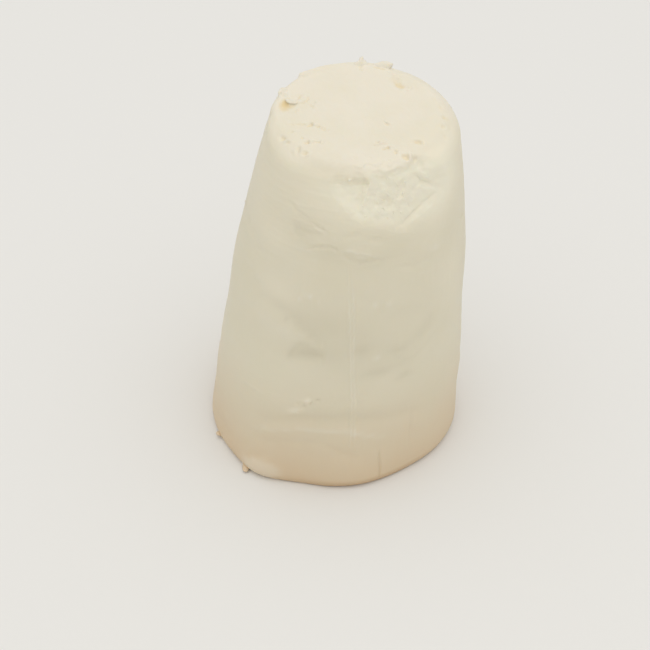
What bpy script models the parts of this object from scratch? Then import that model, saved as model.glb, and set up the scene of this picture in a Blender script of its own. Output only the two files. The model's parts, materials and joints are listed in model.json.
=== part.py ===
"""A salted ricotta cheese, drained and pressed in a tapered basket mould and turned out.

It is one solid, in metres, +Z up, standing on its flat base with the origin at the middle of that
base. The front faces -Y. An azimuth is an angle in degrees round the cheese, 0 at the front and
growing towards +X. A height is measured from the base.
"""

import math

import bmesh
import bpy
from mathutils import Matrix, Vector, geometry, noise

MM = 0.001

# Driving sizes of the moulded cheese
BASE_RADIUS = 50.0 * MM
HEIGHT = 136.0 * MM
LEAN = 11.2 * MM
TAPER = ((0.0, 1.0), (0.15, 0.966), (0.38, 0.908), (0.60, 0.842), (0.82, 0.741), (1.0, 0.658))
FOOT_ROUND = 4.5 * MM

# The top slopes, as a rise for each metre towards +X and towards +Y
TOP_RISE_RIGHT = 0.031
TOP_RISE_BACK = 0.129
TOP_SLOPE_GROWTH = 6

# Radius of the rounded shoulder at places round the rim
SHOULDER_BY_AZIMUTH = (
    (-180, 4.5 * MM),
    (-140, 2.2 * MM),
    (-95, 2.8 * MM),
    (-58, 7.0 * MM),
    (-25, 5.6 * MM),
    (10, 4.6 * MM),
    (50, 8.0 * MM),
    (95, 6.5 * MM),
    (140, 5.5 * MM),
)

# How far the wall is drawn in under the rim, and pushed out at the foot, at places round the cheese
RIM_INSET_BY_AZIMUTH = (
    (-178, 0.4 * MM),
    (-150, 0.0),
    (40, 0.0),
    (75, 0.6 * MM),
    (100, 3.0 * MM),
    (125, 4.2 * MM),
    (150, 3.0 * MM),
)
RIM_INSET_GROWTH = 12
FOOT_OUTSET_BY_AZIMUTH = (
    (-180, 0.0),
    (-84, 0.0),
    (-66, -0.5 * MM),
    (-54, -1.4 * MM),
    (-45, -1.2 * MM),
    (-37, 0.0),
    (-30, -0.1 * MM),
    (-22, -1.2 * MM),
    (-12, -1.7 * MM),
    (0, -0.4 * MM),
    (14, 0.7 * MM),
    (28, 0.5 * MM),
    (42, 0.0),
    (80, 0.0),
)
FOOT_OUTSET_FADE = 4

# Out of round, as shares of the radius: three soft corners and an oval at the base, an oval on top
BASE_CORNERS = 0.035
BASE_CORNER_AZIMUTH = -36.0
BASE_OVAL = 0.013
BASE_OVAL_AZIMUTH = 31.7
TOP_OVAL = 0.028
TOP_OVAL_AZIMUTH = -66.0

# Soft unevenness of the pressed curd
WOBBLE_DEPTH = 0.55 * MM
WOBBLE_SIZE = 24.0 * MM

# Low rings near the foot, left by the basket: height, half height of the ring, how far it stands out
RINGS = (
    (29.0 * MM, 4.0 * MM, 0.20 * MM),
    (34.5 * MM, 3.0 * MM, -0.15 * MM),
    (18.0 * MM, 4.0 * MM, -0.15 * MM),
)

# Corners of the facets where a flake tore away under the front of the rim: azimuth, height, depth
TORN_CORNERS = (
    (-21.0, 126.5 * MM, 0.0),
    (-13.0, 120.2 * MM, 0.0),
    (-4.5, 115.0 * MM, 0.0),
    (9.0, 112.0 * MM, 0.0),
    (26.5, 107.9 * MM, 0.0),
    (44.0, 109.5 * MM, 0.0),
    (56.5, 117.0 * MM, 0.0),
    (56.5, 122.0 * MM, 0.0),
    (44.0, 131.2 * MM, 0.0),
    (24.0, 131.9 * MM, 0.15 * MM),
    (3.5, 131.5 * MM, 0.2 * MM),
    (-12.0, 131.9 * MM, 0.1 * MM),
    (-14.0, 126.6 * MM, 1.2 * MM),
    (-8.0, 126.1 * MM, 2.0 * MM),
    (-2.0, 126.2 * MM, 2.6 * MM),
    (1.2, 126.5 * MM, 2.4 * MM),
    (3.0, 128.0 * MM, 1.2 * MM),
    (-8.0, 130.6 * MM, 0.55 * MM),
    (-11.0, 122.6 * MM, 0.95 * MM),
    (-3.4, 117.8 * MM, 0.95 * MM),
    (1.6, 124.6 * MM, 1.2 * MM),
    (8.0, 129.5 * MM, 1.2 * MM),
    (21.7, 129.8 * MM, 1.6 * MM),
    (37.0, 130.2 * MM, 1.3 * MM),
    (7.0, 126.4 * MM, 1.8 * MM),
    (21.0, 124.4 * MM, 2.3 * MM),
    (12.0, 118.4 * MM, 1.45 * MM),
    (29.0, 118.0 * MM, 1.6 * MM),
    (12.0, 114.2 * MM, 0.75 * MM),
    (24.8, 111.6 * MM, 1.2 * MM),
    (36.0, 124.0 * MM, 1.4 * MM),
    (44.3, 122.3 * MM, 1.4 * MM),
    (41.6, 117.0 * MM, 1.4 * MM),
)

# Dents pressed in by handling, and swells where the depth is negative: azimuth, height, half width,
# half height, turn in degrees, depth
DENTS = (
    (-132.0, 138.0 * MM, 4.0 * MM, 3.0 * MM, 0.0, -1.2 * MM),
    (-160.0, 139.5 * MM, 14.0 * MM, 3.0 * MM, 0.0, -0.9 * MM),
    (-93.0, 133.0 * MM, 3.5 * MM, 2.6 * MM, 20.0, 0.5 * MM),
    (-36.0, 77.5 * MM, 9.0 * MM, 2.8 * MM, -12.0, 0.6 * MM),
    (-19.5, 61.0 * MM, 5.0 * MM, 3.0 * MM, 10.0, 0.8 * MM),
    (-26.0, 112.0 * MM, 8.0 * MM, 2.2 * MM, -15.0, 0.3 * MM),
    (-6.0, 101.5 * MM, 13.0 * MM, 2.6 * MM, -4.0, 0.35 * MM),
    (35.0, 56.0 * MM, 9.0 * MM, 2.8 * MM, 5.0, 0.4 * MM),
    (18.0, 53.0 * MM, 8.0 * MM, 2.4 * MM, 4.0, 0.3 * MM),
    (43.0, 73.0 * MM, 6.0 * MM, 3.0 * MM, -25.0, 0.3 * MM),
    (-62.0, 9.0 * MM, 7.0 * MM, 3.5 * MM, 0.0, 0.7 * MM),
    (-32.0, 4.6 * MM, 7.0 * MM, 3.8 * MM, 4.0, -1.0 * MM),
    (-70.0, 58.0 * MM, 9.0 * MM, 22.0 * MM, 0.0, -0.35 * MM),
    (80.0, 55.0 * MM, 9.0 * MM, 22.0 * MM, 0.0, 0.35 * MM),
    (160.0, 92.0 * MM, 9.0 * MM, 6.0 * MM, 25.0, 0.7 * MM),
    (-148.0, 47.0 * MM, 8.0 * MM, 5.0 * MM, -20.0, 0.6 * MM),
)

# Small crags that stand on the rim and the foot, in millimetres: middle, half sizes, turns about Z
# and X in degrees, and how much each narrows towards its tip
CRAGS = {
    "rim_spike": ((9.8, 29.2, 138.9), (2.1, 1.3, 2.9), (10.0, 6.0), 0.65),
    "rim_lip": ((17.2, 27.0, 138.9), (3.1, 1.8, 2.3), (-16.0, 8.0), 0.25),
    "rim_hook": ((20.7, 25.8, 139.7), (1.9, 1.3, 1.6), (-38.0, 0.0), 0.0),
    "corner_crag": ((-10.9, 22.6, 136.7), (2.4, 2.0, 2.2), (38.0, 0.0), 0.35),
    "left_crag": ((-17.2, 12.4, 135.6), (2.2, 3.6, 2.4), (-20.0, 0.0), 0.35),
    "left_flake": ((-14.0, 9.0, 135.2), (2.6, 3.0, 1.5), (30.0, 10.0), 0.2),
    "foot_tab": ((-32.1, -39.2, 1.9), (1.5, 2.5, 1.5), (0.0, 0.0), 0.25),
    "foot_crumb": ((-44.0, -21.0, 5.2), (1.3, 2.0, 1.5), (64.0, 0.0), 0.2),
}
CRAG_ROUGHNESS = 0.3
CRAG_GRAIN = 1.9

# The grid of the surface
COLUMNS = 88
FRONT_CROWDING = 14.0
FRONT_MIDDLE = 12.0
FOOT_ROWS = 3
LOWER_WALL_ROWS = 20
UPPER_WALL_ROWS = 13
UPPER_WALL_FROM = 96.0 * MM
SHOULDER_ROWS = 5
TOP_RINGS = (0.84, 0.66, 0.46, 0.24)
FOOT_STAYS_FLAT_TO = 3.0 * MM


def clear_scene():
    for item in list(bpy.data.objects):
        bpy.data.objects.remove(item, do_unlink=True)


def smooth_step(low, high, value):
    share = min(1.0, max(0.0, (value - low) / (high - low)))
    return share * share * (3.0 - 2.0 * share)


def through(stations, place):
    """Value at a place on the smooth curve through (place, value) stations."""
    last = len(stations) - 1
    index = 0
    while index < last - 1 and place > stations[index + 1][0]:
        index += 1
    before = stations[max(index - 1, 0)]
    start, end = stations[index], stations[index + 1]
    after = stations[min(index + 2, last)]
    span = end[0] - start[0]
    share = min(1.0, max(0.0, (place - start[0]) / span))
    leave = (end[1] - before[1]) / (end[0] - before[0]) * span
    arrive = (after[1] - start[1]) / (after[0] - start[0]) * span
    square, cube = share ** 2, share ** 3
    return (
        (2 * cube - 3 * square + 1) * start[1]
        + (cube - 2 * square + share) * leave
        + (3 * square - 2 * cube) * end[1]
        + (cube - square) * arrive
    )


def all_round(stations):
    """The stations repeated one turn before and one turn after, so that the curve closes."""
    return tuple((place + turn, value) for turn in (-360, 0, 360) for place, value in stations)


SHOULDER = all_round(SHOULDER_BY_AZIMUTH)
RIM_INSET = all_round(RIM_INSET_BY_AZIMUTH)
FOOT_OUTSET = all_round(FOOT_OUTSET_BY_AZIMUTH)


def out_of_round(azimuth, share):
    """How much wider than round the cheese is, at a share of its height."""
    corners = BASE_CORNERS * math.cos(math.radians(3 * (azimuth - BASE_CORNER_AZIMUTH)))
    oval = BASE_OVAL * math.cos(math.radians(2 * (azimuth - BASE_OVAL_AZIMUTH)))
    top = TOP_OVAL * math.cos(math.radians(2 * (azimuth - TOP_OVAL_AZIMUTH)))
    return 1.0 + (1.0 - share) * (corners + oval) + share * top


def moulded_radius(azimuth, height):
    share = height / HEIGHT
    drawn_in = through(RIM_INSET, azimuth) * share ** RIM_INSET_GROWTH
    drawn_out = through(FOOT_OUTSET, azimuth) * (1.0 - share) ** FOOT_OUTSET_FADE
    return BASE_RADIUS * through(TAPER, share) * out_of_round(azimuth, share) - drawn_in + drawn_out


def profile(azimuth):
    """Rows of the smooth surface, foot to rim: height, radius and how far the surface faces up."""
    rows = []
    for step in range(FOOT_ROWS + 1):
        turn = math.radians(90.0 * step / FOOT_ROWS)
        height = FOOT_ROUND * (1.0 - math.cos(turn))
        inset = 0.5 * FOOT_ROUND * (1.0 - math.sin(turn))
        rows.append((height, moulded_radius(azimuth, height) - inset, -0.5 * math.cos(turn)))
    shoulder = through(SHOULDER, azimuth)
    wall_top = HEIGHT - shoulder
    for step in range(1, LOWER_WALL_ROWS + 1):
        height = FOOT_ROUND + (UPPER_WALL_FROM - FOOT_ROUND) * step / LOWER_WALL_ROWS
        rows.append((height, moulded_radius(azimuth, height), 0.2))
    for step in range(1, UPPER_WALL_ROWS + 1):
        height = UPPER_WALL_FROM + (wall_top - UPPER_WALL_FROM) * step / UPPER_WALL_ROWS
        rows.append((height, moulded_radius(azimuth, height), 0.3))
    for step in range(1, SHOULDER_ROWS + 1):
        turn = math.radians(90.0 * step / SHOULDER_ROWS)
        height = wall_top + shoulder * math.sin(turn)
        radius = moulded_radius(azimuth, height) - shoulder * (1.0 - math.cos(turn))
        rows.append((height, radius, math.sin(turn)))
    return rows


def tilt_top(place):
    """The place raised or lowered with the slope of the top, which fades down the wall."""
    share = place.z / HEIGHT
    rise = TOP_RISE_RIGHT * (place.x - LEAN) + TOP_RISE_BACK * place.y
    return Vector((place.x, place.y, place.z + rise * share ** TOP_SLOPE_GROWTH))


def wobble_depth(place):
    return WOBBLE_DEPTH * noise.noise(place / WOBBLE_SIZE)


def ring_depth(height):
    stands_out = 0.0
    for middle, half_height, swell in RINGS:
        stands_out += swell * math.exp(-((height - middle) / half_height) ** 2)
    return -stands_out


def arc_length(azimuth_step, height):
    """Distance round the wall that a step of azimuth makes at a height."""
    return math.radians(azimuth_step) * BASE_RADIUS * through(TAPER, min(1.0, height / HEIGHT))


def dent_depth(azimuth, height):
    depth = 0.0
    for middle, level, half_width, half_height, turn, deepest in DENTS:
        step = (azimuth - middle + 180.0) % 360.0 - 180.0
        across, up = arc_length(step, level), height - level
        cosine, sine = math.cos(math.radians(turn)), math.sin(math.radians(turn))
        along = (across * cosine + up * sine) / half_width
        over = (up * cosine - across * sine) / half_height
        depth += deepest * math.exp(-(along ** 2 + over ** 2))
    return depth


def torn_facets():
    """Triangles between the corners of the torn place, flat in (way round, height)."""
    spots = [Vector((arc_length(azimuth, level), level)) for azimuth, level, _ in TORN_CORNERS]
    triangles = geometry.delaunay_2d_cdt(spots, [], [], 0, 1e-7)[2]
    return spots, [tuple(triangle) for triangle in triangles]


TORN_SPOTS, TORN_TRIANGLES = torn_facets()


def torn_depth(azimuth, height):
    """Depth of the torn place, straight between the corners of each facet."""
    spot = Vector((arc_length(azimuth, height), height, 0.0))
    for triangle in TORN_TRIANGLES:
        corners = [TORN_SPOTS[index].to_3d() for index in triangle]
        depths = [Vector((TORN_CORNERS[index][2], 0.0, 0.0)) for index in triangle]
        if geometry.intersect_point_tri_2d(spot.to_2d(), *[corner.to_2d() for corner in corners]):
            return geometry.barycentric_transform(spot, *corners, *depths).x
    return 0.0


def carved(place, azimuth, facing_up):
    """The place moved in by the rings, dents, torn facets and wobble, along the surface's normal."""
    height = place.z
    depth = wobble_depth(place) + ring_depth(height) + dent_depth(azimuth, height)
    depth += torn_depth(azimuth, height)
    depth *= smooth_step(0.0, FOOT_STAYS_FLAT_TO, height)
    sideways = math.sqrt(1.0 - facing_up ** 2)
    turn = math.radians(azimuth)
    outward = Vector((sideways * math.sin(turn), -sideways * math.cos(turn), facing_up))
    return place - outward * depth


def column_azimuths():
    """Azimuths of the columns, closer together at the front."""
    azimuths = []
    for column in range(COLUMNS):
        even = 360.0 * column / COLUMNS - 180.0
        azimuths.append(even - FRONT_CROWDING * math.sin(math.radians(even)) + FRONT_MIDDLE)
    return azimuths


def wall_column(azimuth):
    """Finished places of one column, foot to rim."""
    turn = math.radians(azimuth)
    column = []
    for height, radius, facing_up in profile(azimuth):
        middle_x = LEAN * height / HEIGHT
        place = Vector((middle_x + radius * math.sin(turn), -radius * math.cos(turn), height))
        column.append(carved(tilt_top(place), azimuth, facing_up))
    return column


def top_place(rim_place, share):
    """A place on the top face, at a share of the way from its middle to the rim."""
    middle = Vector((LEAN, 0.0, HEIGHT))
    flat = middle.lerp(rim_place, share)
    flat.z = HEIGHT
    level = tilt_top(flat)
    level.z -= wobble_depth(level)
    blend = smooth_step(0.6, 1.0, share)
    edge_lift = rim_place.z - tilt_top(Vector((rim_place.x, rim_place.y, HEIGHT))).z
    level.z += edge_lift * blend
    return level


def join_rings(mesh, lower, upper):
    count = len(lower)
    for index in range(count):
        following = (index + 1) % count
        mesh.faces.new((lower[index], lower[following], upper[following], upper[index]))


def close_ring(mesh, ring, middle):
    count = len(ring)
    for index in range(count):
        mesh.faces.new((ring[index], ring[(index + 1) % count], middle))


def build_cheese():
    """The body: rings of wall and shoulder, rings of the top face, and a flat base."""
    columns = [wall_column(azimuth) for azimuth in column_azimuths()]
    mesh = bmesh.new()
    rings = [[mesh.verts.new(column[row]) for column in columns] for row in range(len(columns[0]))]
    rim = [column[-1] for column in columns]
    for share in TOP_RINGS:
        rings.append([mesh.verts.new(top_place(place, share)) for place in rim])
    for lower, upper in zip(rings, rings[1:]):
        join_rings(mesh, lower, upper)
    peak = mesh.verts.new(top_place(Vector((LEAN, 0.0, HEIGHT)), 0.0))
    close_ring(mesh, rings[-1], peak)
    foot = mesh.verts.new((0.0, 0.0, 0.0))
    close_ring(mesh, rings[0][::-1], foot)
    return as_object("ricotta_cone", mesh)


def as_object(name, mesh):
    data = bpy.data.meshes.new(name)
    mesh.to_mesh(data)
    mesh.free()
    item = bpy.data.objects.new(name, data)
    bpy.context.scene.collection.objects.link(item)
    return item


def build_crag(name, middle, half_sizes, turns, narrowing):
    """A rough crag of curd: a ball pulled to size, narrowed upwards, its points nudged unevenly."""
    mesh = bmesh.new()
    bmesh.ops.create_icosphere(mesh, subdivisions=2, radius=1.0)
    shift = Vector(middle)
    for vert in mesh.verts:
        nudge = 1.0 + CRAG_ROUGHNESS * noise.noise(vert.co * CRAG_GRAIN + shift)
        waist = 1.0 - narrowing * 0.5 * (1.0 + vert.co.z)
        vert.co = nudge * Vector((
            vert.co.x * half_sizes[0] * waist,
            vert.co.y * half_sizes[1] * waist,
            vert.co.z * half_sizes[2],
        ))
    turn = Matrix.Rotation(math.radians(turns[0]), 4, "Z") @ Matrix.Rotation(math.radians(turns[1]), 4, "X")
    bmesh.ops.transform(mesh, matrix=Matrix.Scale(MM, 4) @ Matrix.Translation(shift) @ turn, verts=mesh.verts)
    return as_object(name, mesh)


def fuse(body, lumps):
    """Join the lumps to the body by one union, apply it and remove the lumps."""
    group = bpy.data.collections.new("crags")
    for lump in lumps:
        bpy.context.scene.collection.objects.unlink(lump)
        group.objects.link(lump)
    bpy.context.scene.collection.children.link(group)
    union = body.modifiers.new("crags", "BOOLEAN")
    union.operation = "UNION"
    union.operand_type = "COLLECTION"
    union.collection = group
    union.solver = "EXACT"
    joined = bpy.data.meshes.new_from_object(body.evaluated_get(bpy.context.evaluated_depsgraph_get()))
    body.modifiers.remove(union)
    body.data = joined
    for lump in lumps:
        bpy.data.objects.remove(lump, do_unlink=True)
    bpy.data.collections.remove(group)


def cheese_material():
    material = bpy.data.materials.new("pressed_ricotta")
    material.use_nodes = True
    shader = material.node_tree.nodes["Principled BSDF"]
    shader.inputs["Base Color"].default_value = (0.80, 0.74, 0.59, 1.0)
    shader.inputs["Roughness"].default_value = 0.62
    shader.inputs["Metallic"].default_value = 0.0
    return material


def main():
    clear_scene()
    cheese = build_cheese()
    crags = [build_crag(name, *shape) for name, shape in CRAGS.items()]
    fuse(cheese, crags)
    cheese.data.name = "ricotta_cone"
    cheese.data.materials.clear()
    cheese.data.materials.append(cheese_material())
    cheese.data.shade_smooth()
    cheese.data.set_sharp_from_angle(angle=math.radians(40.0))


main()
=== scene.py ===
"""Looks of a whole salted ricotta: its moulded body, torn rim, flakes and crumbs, in a soft studio.

Sizes and places are millimetres, and a mesh is turned to metres as it is made. An azimuth is an
angle in degrees round the cheese, 0 at the front (-Y) and growing towards +X. A height is measured
from the flat base. A depth is below the moulded surface, and is negative where curd stands out.
"""

import json
import logging
import math
from dataclasses import asdict, dataclass
from enum import Enum

import bmesh
import bpy
import numpy as np
from bpy.types import Material, Node, NodeSocket, NodeTree, Object
from mathutils import Matrix, Vector, geometry, noise

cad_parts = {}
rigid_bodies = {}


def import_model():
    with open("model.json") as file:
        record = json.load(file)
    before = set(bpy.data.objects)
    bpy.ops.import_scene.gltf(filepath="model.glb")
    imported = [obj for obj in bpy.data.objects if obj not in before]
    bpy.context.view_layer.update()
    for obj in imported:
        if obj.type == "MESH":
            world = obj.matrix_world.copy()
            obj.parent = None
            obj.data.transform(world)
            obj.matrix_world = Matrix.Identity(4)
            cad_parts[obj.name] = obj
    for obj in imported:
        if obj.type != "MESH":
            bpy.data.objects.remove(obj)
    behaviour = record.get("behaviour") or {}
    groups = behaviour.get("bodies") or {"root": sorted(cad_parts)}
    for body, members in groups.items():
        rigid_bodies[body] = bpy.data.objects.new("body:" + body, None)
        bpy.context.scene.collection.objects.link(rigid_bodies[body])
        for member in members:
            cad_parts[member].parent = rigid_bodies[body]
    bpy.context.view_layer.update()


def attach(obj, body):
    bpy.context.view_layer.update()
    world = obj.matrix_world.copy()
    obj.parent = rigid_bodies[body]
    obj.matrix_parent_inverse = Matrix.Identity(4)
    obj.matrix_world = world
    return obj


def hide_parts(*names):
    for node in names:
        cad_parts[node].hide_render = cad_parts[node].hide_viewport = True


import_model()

MM = 0.001
BODY = "root"
NODE = "ricotta_cone"
# Height above the floor at which relief has its full depth.
OFF_FLOOR = 3.0
# Between these two values lies nearly all of a noise texture.
NOISE_SPAN = (0.25, 0.75)
# Moves a pattern so that its second layer differs from its first.
SECOND_LAYER = 31.7
# Corners of facets that lie closer together than this count as one.
CORNER_WELD = 1e-7

LOG = logging.getLogger("ricotta")

Pair = tuple[float, float]
Triple = tuple[float, float, float]
Faces = list[tuple[int, ...]]
Marks = dict[str, np.ndarray]


def feed(tree: NodeTree, node: Node, inputs: dict) -> None:
    """Gives a node its input values and links.

    Args:
        tree: The shader or geometry tree.
        node: The node in it.
        inputs: Socket name or number to a value, to a socket to link from, or to a node whose
            first output is linked.
    """
    for key, value in inputs.items():
        if isinstance(value, Node):
            value = value.outputs[0]
        if isinstance(value, NodeSocket):
            tree.links.new(value, node.inputs[key])
        else:
            node.inputs[key].default_value = value


def put(tree: NodeTree, kind: str, inputs: dict | None = None, **settings: str) -> Node:
    """Adds one node to a tree with its settings, input values and links.

    Args:
        tree: The shader or geometry tree.
        kind: The node's type name.
        inputs: What its sockets are fed with.
        settings: Attributes of the node itself.

    Returns:
        The new node.
    """
    node = tree.nodes.new(kind)
    for name, value in settings.items():
        setattr(node, name, value)
    feed(tree, node, inputs or {})
    return node


def linear(code: str) -> tuple[float, float, float, float]:
    """Turns an sRGB hex code such as "E9E2CF" into a linear colour.

    Args:
        code: Two hex digits each for red, green and blue.

    Returns:
        Red, green, blue and full alpha.
    """
    shares = [int(code[start:start + 2], 16) / 255 for start in (0, 2, 4)]
    light = [s / 12.92 if s <= 0.04045 else ((s + 0.055) / 1.055) ** 2.4 for s in shares]
    return (*light, 1.0)


def smooth_step(low: float, high: float, value: np.ndarray) -> np.ndarray:
    """Rises smoothly from 0 at low to 1 at high."""
    share = np.clip((value - low) / (high - low), 0.0, 1.0)
    return share * share * (3.0 - 2.0 * share)


def curd_noise(points: np.ndarray, size: float, shift: float = 0.0) -> np.ndarray:
    """Smooth noise between about -1 and 1 at every point.

    Args:
        points: Places, last axis X, Y, Z.
        size: Width of one swell.
        shift: Moves the pattern, so that two layers differ.

    Returns:
        One value for each place.
    """
    flat = points.reshape(-1, 3) / size + shift
    values = np.fromiter((noise.noise(place) for place in flat.tolist()), float, len(flat))
    return values.reshape(points.shape[:-1])


def lumps(points: np.ndarray, size: float, shifts: Triple) -> np.ndarray:
    """Noise along all three axes at every point, with a shift of the pattern for each axis."""
    return np.stack([curd_noise(points, size, shift) for shift in shifts], axis=-1)


def tube_faces(rows: int, columns: int, start: int, end: int) -> Faces:
    """Faces over rings of points, closed by a tip at each end.

    Args:
        rows: How many rings there are.
        columns: How many points a ring has.
        start: Vertex number of the tip before the first ring.
        end: Vertex number of the tip beyond the last ring.

    Returns:
        Vertex numbers of each face, with the tips' faces in the order of their numbers.
    """
    number = np.arange(rows * columns).reshape(rows, columns)
    beside = np.roll(number, -1, axis=1)
    faces = np.stack([number[:-1], beside[:-1], beside[1:], number[1:]], axis=-1).reshape(-1, 4).tolist()
    fans = {
        start: [(b, a, start) for a, b in zip(number[0].tolist(), beside[0].tolist())],
        end: [(a, b, end) for a, b in zip(number[-1].tolist(), beside[-1].tolist())],
    }
    return faces + [face for tip in sorted(fans) for face in fans[tip]]


def mesh_object(name: str, points: np.ndarray, faces: Faces, marks: Marks | None = None) -> Object:
    """A smooth-shaded mesh object at the origin.

    Args:
        name: The piece's name.
        points: Vertex places.
        faces: Vertex numbers of each face.
        marks: Point attributes by name, one number for each vertex.

    Returns:
        The object, linked to the scene.
    """
    mesh = bpy.data.meshes.new(name)
    mesh.from_pydata((points * MM).tolist(), [], faces)
    mesh.validate()
    for mark, values in (marks or {}).items():
        layer = mesh.attributes.new(mark, "FLOAT", "POINT")
        layer.data.foreach_set("value", np.asarray(values, dtype=np.float32))
    mesh.shade_smooth()
    piece = bpy.data.objects.new(name, mesh)
    bpy.context.scene.collection.objects.link(piece)
    return piece


def geometry_tree(name: str, inputs: dict[str, float]) -> NodeTree:
    """Starts a geometry tree with one named input for each value.

    Args:
        name: The tree's name.
        inputs: The values by name, of which a whole number gets a whole-number socket.

    Returns:
        The tree, with its geometry in and out.
    """
    tree = bpy.data.node_groups.new(name, "GeometryNodeTree")
    tree.interface.new_socket(name="Geometry", in_out="INPUT", socket_type="NodeSocketGeometry")
    for label, value in inputs.items():
        kind = "NodeSocketInt" if isinstance(value, int) else "NodeSocketFloat"
        tree.interface.new_socket(name=label, in_out="INPUT", socket_type=kind)
    tree.interface.new_socket(name="Geometry", in_out="OUTPUT", socket_type="NodeSocketGeometry")
    return tree


def settle(piece: Object) -> None:
    """Turns a piece's evaluated shape into its plain mesh and removes its modifiers.

    Args:
        piece: The object that keeps the result.
    """
    graph = bpy.context.evaluated_depsgraph_get()
    graph.update()
    finished = bpy.data.meshes.new_from_object(piece.evaluated_get(graph))
    piece.modifiers.clear()
    piece.data = finished
    finished.name = piece.name


def grow(piece: Object, tree: NodeTree, values: dict[str, float]) -> None:
    """Runs a geometry tree on the piece and keeps the result as its plain mesh.

    Args:
        piece: The object that gets the result.
        tree: The tree, with named inputs.
        values: Each input's value by its name.
    """
    modifier = piece.modifiers.new(tree.name, "NODES")
    modifier.node_group = tree
    named = {item.name: item.identifier for item in tree.interface.items_tree if item.in_out == "INPUT"}
    for name, value in values.items():
        modifier[named[name]] = value
    settle(piece)


def declare(piece: Object, *nodes: str) -> None:
    """Rides the piece on the cheese's body.

    Args:
        piece: The finished piece.
        nodes: CAD nodes that it stands for.
    """
    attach(piece, BODY)
    if nodes:
        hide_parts(*nodes)
    LOG.info("%s: %d triangles", piece.name, sum(len(face.vertices) - 2 for face in piece.data.polygons))


@dataclass(frozen=True)
class SmoothCurve:
    """A smooth curve through (place, value) stations, closed after one turn where that is set."""

    stations: tuple[Pair, ...]
    turn: float = 0.0

    def at(self, place: np.ndarray | float) -> np.ndarray:
        """Values of the curve.

        Args:
            place: Where to read it.

        Returns:
            One value for each place.
        """
        turns = (-self.turn, 0.0, self.turn) if self.turn else (0.0,)
        spots = np.array([spot + turn for turn in turns for spot, _ in self.stations])
        values = np.array([value for _ in turns for _, value in self.stations])
        last = len(spots) - 1
        place = np.asarray(place, dtype=float)
        index = np.clip(np.searchsorted(spots, place, side="left") - 1, 0, last - 1)
        before, after = np.maximum(index - 1, 0), np.minimum(index + 2, last)
        span = spots[index + 1] - spots[index]
        share = np.clip((place - spots[index]) / span, 0.0, 1.0)
        leave = (values[index + 1] - values[before]) / (spots[index + 1] - spots[before]) * span
        arrive = (values[after] - values[index]) / (spots[after] - spots[index]) * span
        square, cube = share ** 2, share ** 3
        return (
            (2 * cube - 3 * square + 1) * values[index]
            + (cube - 2 * square + share) * leave
            + (3 * square - 2 * cube) * values[index + 1]
            + (cube - square) * arrive
        )


@dataclass(frozen=True)
class Sheet:
    """Places laid flat: the wall unrolled, or the top face seen from above.

    On the wall a place is given by its azimuth and height, on the top face by X and Y.
    """

    across: np.ndarray
    along: np.ndarray
    radius: SmoothCurve | None = None

    def lay(self, first: float, second: float) -> Pair:
        """Lays one given place flat.

        Args:
            first: Its azimuth or X.
            second: Its height or Y.

        Returns:
            How far it lies across and along the sheet.
        """
        if self.radius is None:
            return first, second
        return math.radians(first) * float(self.radius.at(second)), second

    def from_spot(self, first: float, second: float, turn: float) -> tuple[np.ndarray, np.ndarray]:
        """Measures every place of the sheet from a given one, on axes that are turned.

        Args:
            first: Azimuth or X of the given place.
            second: Its height or Y.
            turn: Degrees by which the axes are turned.

        Returns:
            How far each place lies along the first axis and along the second.
        """
        middle = self.lay(first, second)
        x, y = self.across - middle[0], self.along - middle[1]
        cosine, sine = math.cos(math.radians(turn)), math.sin(math.radians(turn))
        return x * cosine + y * sine, y * cosine - x * sine

    def ragged(self, points: np.ndarray, size: float, reach: float) -> "Sheet":
        """The sheet with its places shifted by noise, so that what is drawn on it gets torn edges.

        Args:
            points: The same places in space.
            size: Width of one swell of the shift.
            reach: Most that a place is shifted.

        Returns:
            The shifted sheet.
        """
        across = self.across + reach * curd_noise(points, size)
        along = self.along + reach * curd_noise(points, size, SECOND_LAYER)
        return Sheet(across, along, self.radius)


@dataclass(frozen=True)
class Dent:
    """A soft oval dent, or with a negative depth a bump, round a given place."""

    first: float
    second: float
    half_width: float
    half_height: float
    depth: float
    turn: float = 0.0

    def depth_on(self, sheet: Sheet) -> np.ndarray:
        """Depth at each place of the sheet."""
        along, over = sheet.from_spot(self.first, self.second, self.turn)
        return self.depth * np.exp(-((along / self.half_width) ** 2 + (over / self.half_height) ** 2))


@dataclass(frozen=True)
class Furrow:
    """A furrow, or with a negative depth a low ridge, along given places."""

    path: tuple[Pair, ...]
    half_width: float
    depth: float
    end_share: float = 0.22

    def depth_on(self, sheet: Sheet) -> np.ndarray:
        """Works out the furrow, which fades at both ends of its path.

        Args:
            sheet: The wall or the top face.

        Returns:
            Depth at each of its places.
        """
        spots = np.array([sheet.lay(*place) for place in self.path])
        steps = np.linalg.norm(np.diff(spots, axis=0), axis=1)
        travelled = np.concatenate([[0.0], np.cumsum(steps)])
        nearest = np.full(sheet.along.shape, np.inf)
        progress = np.zeros(sheet.along.shape)
        for start, end, length, before in zip(spots, spots[1:], steps, travelled):
            way = (end - start) / length
            x, y = sheet.across - start[0], sheet.along - start[1]
            along = np.clip(x * way[0] + y * way[1], 0.0, length)
            distance = np.hypot(x - along * way[0], y - along * way[1])
            closer = distance < nearest
            nearest = np.where(closer, distance, nearest)
            progress = np.where(closer, before + along, progress)
        share = progress / travelled[-1]
        fade = smooth_step(0.0, self.end_share, share) * smooth_step(0.0, self.end_share, 1.0 - share)
        return self.depth * fade * np.exp(-((nearest / self.half_width) ** 2))


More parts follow.
